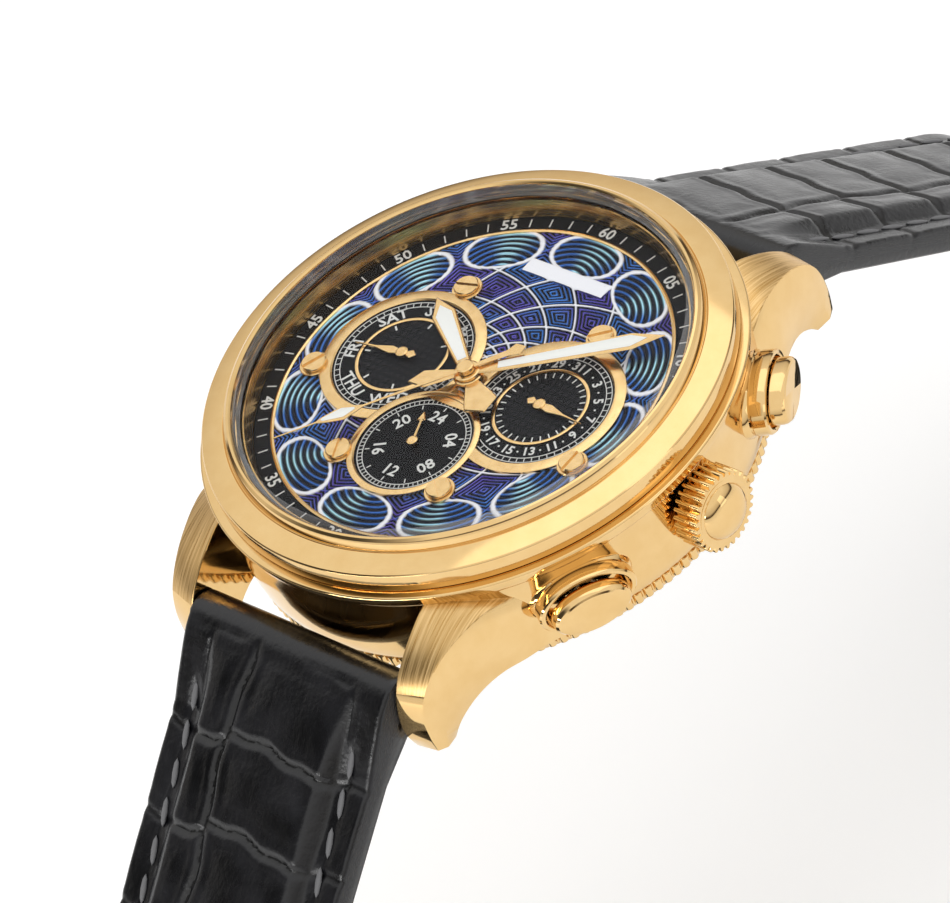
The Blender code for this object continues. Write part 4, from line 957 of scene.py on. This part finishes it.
def make_strap(name, side, slope, runs, end_r, tip, seed):
    line = strap_line(side, slope, runs)
    total = line[-1, 0]
    rows = []
    for share in np.sin(np.linspace(-np.pi / 2, 0, 9))[:-1]:
        rows.append((STRAP_END_R * share * 0.995, *line[0, 1:]))
    rows += [tuple(row) for row in line]
    if end_r:
        for share in np.sin(np.linspace(0, np.pi / 2, 9))[1:]:
            rows.append((total + end_r * share * 0.995, *line[-1, 1:]))
    count = 112
    verts, uvs, grooves = [], [], []
    for length, y, z, angle in rows:
        half, below, edge, top = (float(v) for v in strap_sizes(length, total))
        thick_end = None
        if length < 0:
            thick_end = math.sqrt(STRAP_END_R**2 - length**2)
        elif length > total:
            thick_end = math.sqrt(end_r**2 - (length - total) ** 2)
        if tip and length > total - tip:
            half *= math.sqrt(1 - (0.985 * (length - total + tip) / tip) ** 2)
        x = half * np.linspace(1, -1, count)
        distance = half - np.abs(x)
        swell_up = ramp(0.25 * half, 0.42 * half, distance)
        swell_up = swell_up * swell_up * (3 - 2 * swell_up)
        crown = 1 - 0.25 * (x / half) ** 2
        height = edge + (top - edge) * 0.6 * swell_up * (0.7 + 0.3 * crown)
        corner = np.clip(distance / 0.45, 0, 1)
        height -= 0.3 * (1 - np.sqrt(1 - (1 - corner) ** 2))
        groove, swell = scale_relief(length, x, seed)
        fade = float(ramp(-1, 1.5, length)) * (0.5 + 0.5 * swell_up)
        height += fade * (0.16 * swell - 0.24 * groove)
        channel = np.exp(-(((distance - 0.21 * half) / 0.4) ** 2)) * ramp(4, 5, length)
        height -= 0.12 * channel
        if thick_end is not None:
            height = np.full(count, thick_end) - min(0.15,
                thick_end * 0.5) * (1 - np.sqrt(1 - (1 - corner) ** 2))
            below = thick_end
        ease = min(0.25, below * 0.4)
        ring = list(zip(x, height))
        ring += [(-half, (height[-1] - below) / 2), (-half, -below + ease), (-half + ease, -below)]
        ring += [(px, -below) for px in np.linspace(-half * 0.8, half * 0.8, 9)]
        ring += [(half - ease, -below), (half, -below + ease), (half, (height[0] - below) / 2)]
        forward = np.array((0, side * math.cos(angle), -math.sin(angle)))
        up = np.array((0, side * math.sin(angle), math.cos(angle)))
        past = length if length < 0 else max(0.0, length - total)
        base = np.array((0, y, z)) + forward * past
        around = 0.0
        last = ring[0]
        for k, (px, pz) in enumerate(ring):
            verts.append(base + np.array((px, 0, 0)) + up * pz)
            around += math.hypot(px - last[0], pz - last[1])
            last = (px, pz)
            uvs.append((length * MM, around * MM))
            grooves.append(float(groove[k] * fade[k]) if k < count else 0.0)
    around = len(ring)
    faces = []
    for i in range(len(rows) - 1):
        for k in range(around):
            a, b = i * around + k, i * around + (k + 1) % around
            faces.append((a, b, b + around, a + around))
    faces.append(tuple(range(around)))
    faces.append(tuple(range((len(rows) - 1) * around, len(rows) * around)))
    mesh = bpy.data.meshes.new(name)
    mesh.from_pydata([tuple(v * MM) for v in verts], [], faces)
    layer = mesh.uv_layers.new(name="leather")
    index = np.zeros(len(mesh.loops), int)
    mesh.loops.foreach_get("vertex_index", index)
    layer.data.foreach_set("uv", np.array(uvs)[index].ravel())
    mesh.attributes.new("groove", "FLOAT", "POINT").data.foreach_set("value", grooves)
    obj = shown(name, mesh)
    choose(obj)
    bpy.ops.object.mode_set(mode="EDIT")
    bpy.ops.mesh.select_all(action="SELECT")
    bpy.ops.mesh.normals_make_consistent(inside=False)
    bpy.ops.object.mode_set(mode="OBJECT")
    return obj, line


def point_on(line, length):
    return [float(np.interp(length, line[:, 0], line[:, k])) for k in range(1, 4)]


def sew(name, line, side, start, end, body):
    """Two rows of slanted stitches in the strap's margins."""
    total = line[-1, 0]
    deselect()
    bpy.ops.mesh.primitive_uv_sphere_add(segments=8, ring_count=6, radius=MM)
    seed = moved(bpy.context.object, scale=(0.29, 1.25, 0.2))
    stitches = []
    for k in range(int((end - start) / STITCH_PITCH)):
        length = start + STITCH_PITCH * k
        half, _, edge, _ = (float(v) for v in strap_sizes(length, total))
        y, z, angle = point_on(line, length)
        for hand in (1, -1):
            x = hand * (half - 0.21 * half)
            lean = copied(seed, turn=(0, 0, -9 * side))
            at = Vector((x, y, z)) + Vector((0, side * math.sin(angle), math.cos(angle))) * (edge + 0.02)
            stitches.append(moved(lean, at, (-math.degrees(angle) * side, 0, 0)))
    bpy.data.objects.remove(seed)
    finished(joined(name, stitches), body, thread, angle=80)


def make_straps():
    upper, line = make_strap("strap_upper_leather", 1, 36.2, UPPER_RUN, 1.65, 0, 0.4)
    _, y, z = HINGE
    slot = block("tongue_slot", (-1.5, y - 5, z - 5), (1.5, y + 5, z + 6))
    bored(upper, slot)
    finished(upper, "strap_upper", leather, ["strap_upper"], 50)
    sew("strap_upper_stitches", line, 1, 6.0, line[-1, 0] - 18, "strap_upper")
    lower, line = make_strap("strap_lower_leather", -1, 40.0, LOWER_RUN, 0, 9.0, 1.9)
    for i in range(HOLE_COUNT):
        y, z, angle = point_on(line, line[-1, 0] - HOLE_FROM_TIP - HOLE_PITCH * i)
        hole = turned("strap_hole", [(0, 4), (HOLE_R, 4), (HOLE_R, -4), (0, -4)], 24)
        bored(lower, moved(hole, (0, y, z), (math.degrees(angle), 0, 0)))
    finished(lower, "strap_lower", leather, ["strap_lower"], 50)
    sew("strap_lower_stitches", line, -1, 6.0, line[-1, 0] - 8, "strap_lower")


def make_buckle():
    inner, outer, drop, rail, top = 10.35, 12.35, 9.5, 7.5, 1.65
    outline = [(outer, top), (outer, -drop + 1.6), (outer - 0.5, -drop + 0.5), (outer - 1.6, -drop)]
    outline += [(-outer + 1.6, -drop), (-outer + 0.5, -drop + 0.5), (-outer, -drop + 1.6), (-outer, top)]
    outline += [(-inner, top), (-inner, -rail), (inner, -rail), (inner, top)]
    frame_piece = eased(cut_out("buckle_frame", outline, -1, 1), 0.35, 4, 40)
    plated(moved(frame_piece, HINGE, (90, 0, 0)), "buckle", ["buckle"], 35)
    arm = [(-0.85, 0), (-1.95, -4.5), (-1.85, -9.0), (-1.05, -9.0), (-1.05, -7.2), (0.14, -0.99)]
    tongue = cut_out("arm", arm, -1.2, 1.2)
    eye = turned("eye", [(1.41, 1.2), (1.41, -1.2), (0.81, -1.2), (0.81, 1.2)], 48, True)
    tongue = eased(joined("buckle_tongue_gilt", [tongue, eye]), 0.2, 2, 40)
    tongue = moved(tongue, turn=(90, 0, 90))
    plated(moved(tongue, HINGE), "buckle_tongue", ["buckle_tongue"], 35)
    for name, body in (("keeper_fixed", "strap_upper"), ("keeper_free", "keeper_free")):
        corner, opposite = low(name), high(name)
        loop = block(f"{name}_loop", corner, opposite)
        inside = block("inside", corner + Vector((1, 1, -2)), opposite + Vector((-1, -1, 2)))
        loop = eased(bored(loop, inside), 0.3, 3, 40)
        finished(loop, body, keeper_leather, [name], 40)


def make_keeper_leather():
    """The same calf leather cut into loops, read by its place on the piece."""
    made = material("calf_leather_loop", Base_Color=rgb("131315"), Roughness=0.42)
    grain = mottled(made, 500.0, 6.0, 0.34, 0.5)
    bumped(made, grain, 0, 0.4, 0.08)
    return made


keeper_leather = make_keeper_leather()
make_straps()
make_buckle()

# ---------------------------------------------------------------- movement and small parts

WEAR = {
    rubber: ("crystal_gasket", "case_back_gasket", "crown_gasket"),
    steel: ("winding_stem", "crown_tube", "pusher_spring_upper", "pusher_spring_lower", "spring_bar_upper",
            "spring_bar_lower", "buckle_bar", "rotor_axle"),
    rhodium: ("main_plate", "train_bridge", "barrel_bridge", "balance_cock"),
    gilt: ("mainspring_barrel", "center_wheel", "third_wheel", "escape_wheel", "balance_wheel", "rotor"),
    acetal: ("movement_ring",),
}
for look, nodes in WEAR.items():
    for node in nodes:
        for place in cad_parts[node].material_slots:
            place.material = look

# ---------------------------------------------------------------- studio


def softbox(name, at, size, power):
    """A rectangular area light that faces the watch."""
    lamp = bpy.data.lights.new(name, "AREA")
    lamp.shape = "RECTANGLE"
    lamp.size, lamp.size_y = size[0] * MM, size[1] * MM
    lamp.energy = power
    holder = shown(name, lamp)
    holder.location = Vector(at) * MM
    holder.rotation_euler = (-Vector(at)).to_track_quat("-Z", "Y").to_euler()


deselect()
bpy.ops.mesh.primitive_plane_add(size=6, location=(0, 0, (cad_box[0][2] / MM - 0.1) * MM))
floor = bpy.context.object
floor.name = "studio_floor"
bpy.ops.object.transform_apply(location=True, rotation=True, scale=True)
paper = make_plain("matt_white_paper", "F6F6F6", 0.9, scale=200.0)
for socket, value in (("Emission Color", (1, 1, 1, 1)), ("Emission Strength", 0.2)):
    shader_of(paper).inputs[socket].default_value = value
floor.data.materials.append(paper)

world = bpy.data.worlds.new("studio")
bpy.context.scene.world = world
world.use_nodes = True
# A dim surround that brightens towards the ceiling, so polished gold has something dark to mirror.
sky = world.node_tree.nodes["Background"]
bearing = add(world, "ShaderNodeTexCoord")
parts = add(world, "ShaderNodeSeparateXYZ", [("Vector", bearing, "Generated")])
shades = [(0.0, "F4F4F4"), (0.07, "EEEEEE"), (0.1, "4A423A"), (0.18, "5F564E"), (0.3, "D8D4CE"),
    (0.7, "FFFFFF")]
light = ramped(add(world, "ShaderNodeValToRGB", [("Fac", parts, "Z")]), *shades)
world.node_tree.links.new(light.outputs[0], sky.inputs["Color"])
# A black card in front of the lugs, seen only as dark reflections in the gold and the leather.
card = add(world, "ShaderNodeVectorMath", [(0, bearing, "Generated")], operation="DOT_PRODUCT")
card.inputs[1].default_value = (-0.43, -0.73, 0.53)
add(world, "ShaderNodeMapRange", [("Value", card, 1)], (sky, "Strength"), From_Min=0.84, From_Max=0.97,
    To_Min=1.05, To_Max=0.08)

# Large and soft from above, a low strip for the leather, and a weak one at the crown side.
softbox("overhead", (-120, 260, 560), (420, 420), 0.32)
softbox("front_low", (-60, -600, 160), (420, 60), 0.9)
softbox("right", (430, 120, 160), (160, 380), 0.12)

camera = shown("camera", bpy.data.cameras.new("camera"))
camera.data.lens = 239.0
camera.data.sensor_width = 36.0
camera.data.clip_end = 10
camera.location = Vector((315.67, -203.20, 334.66)) * MM
camera.rotation_euler = [math.radians(angle) for angle in (45.831, 18.332, 40.557)]
bpy.context.scene.camera = camera
bpy.context.scene.view_settings.view_transform = "Standard"
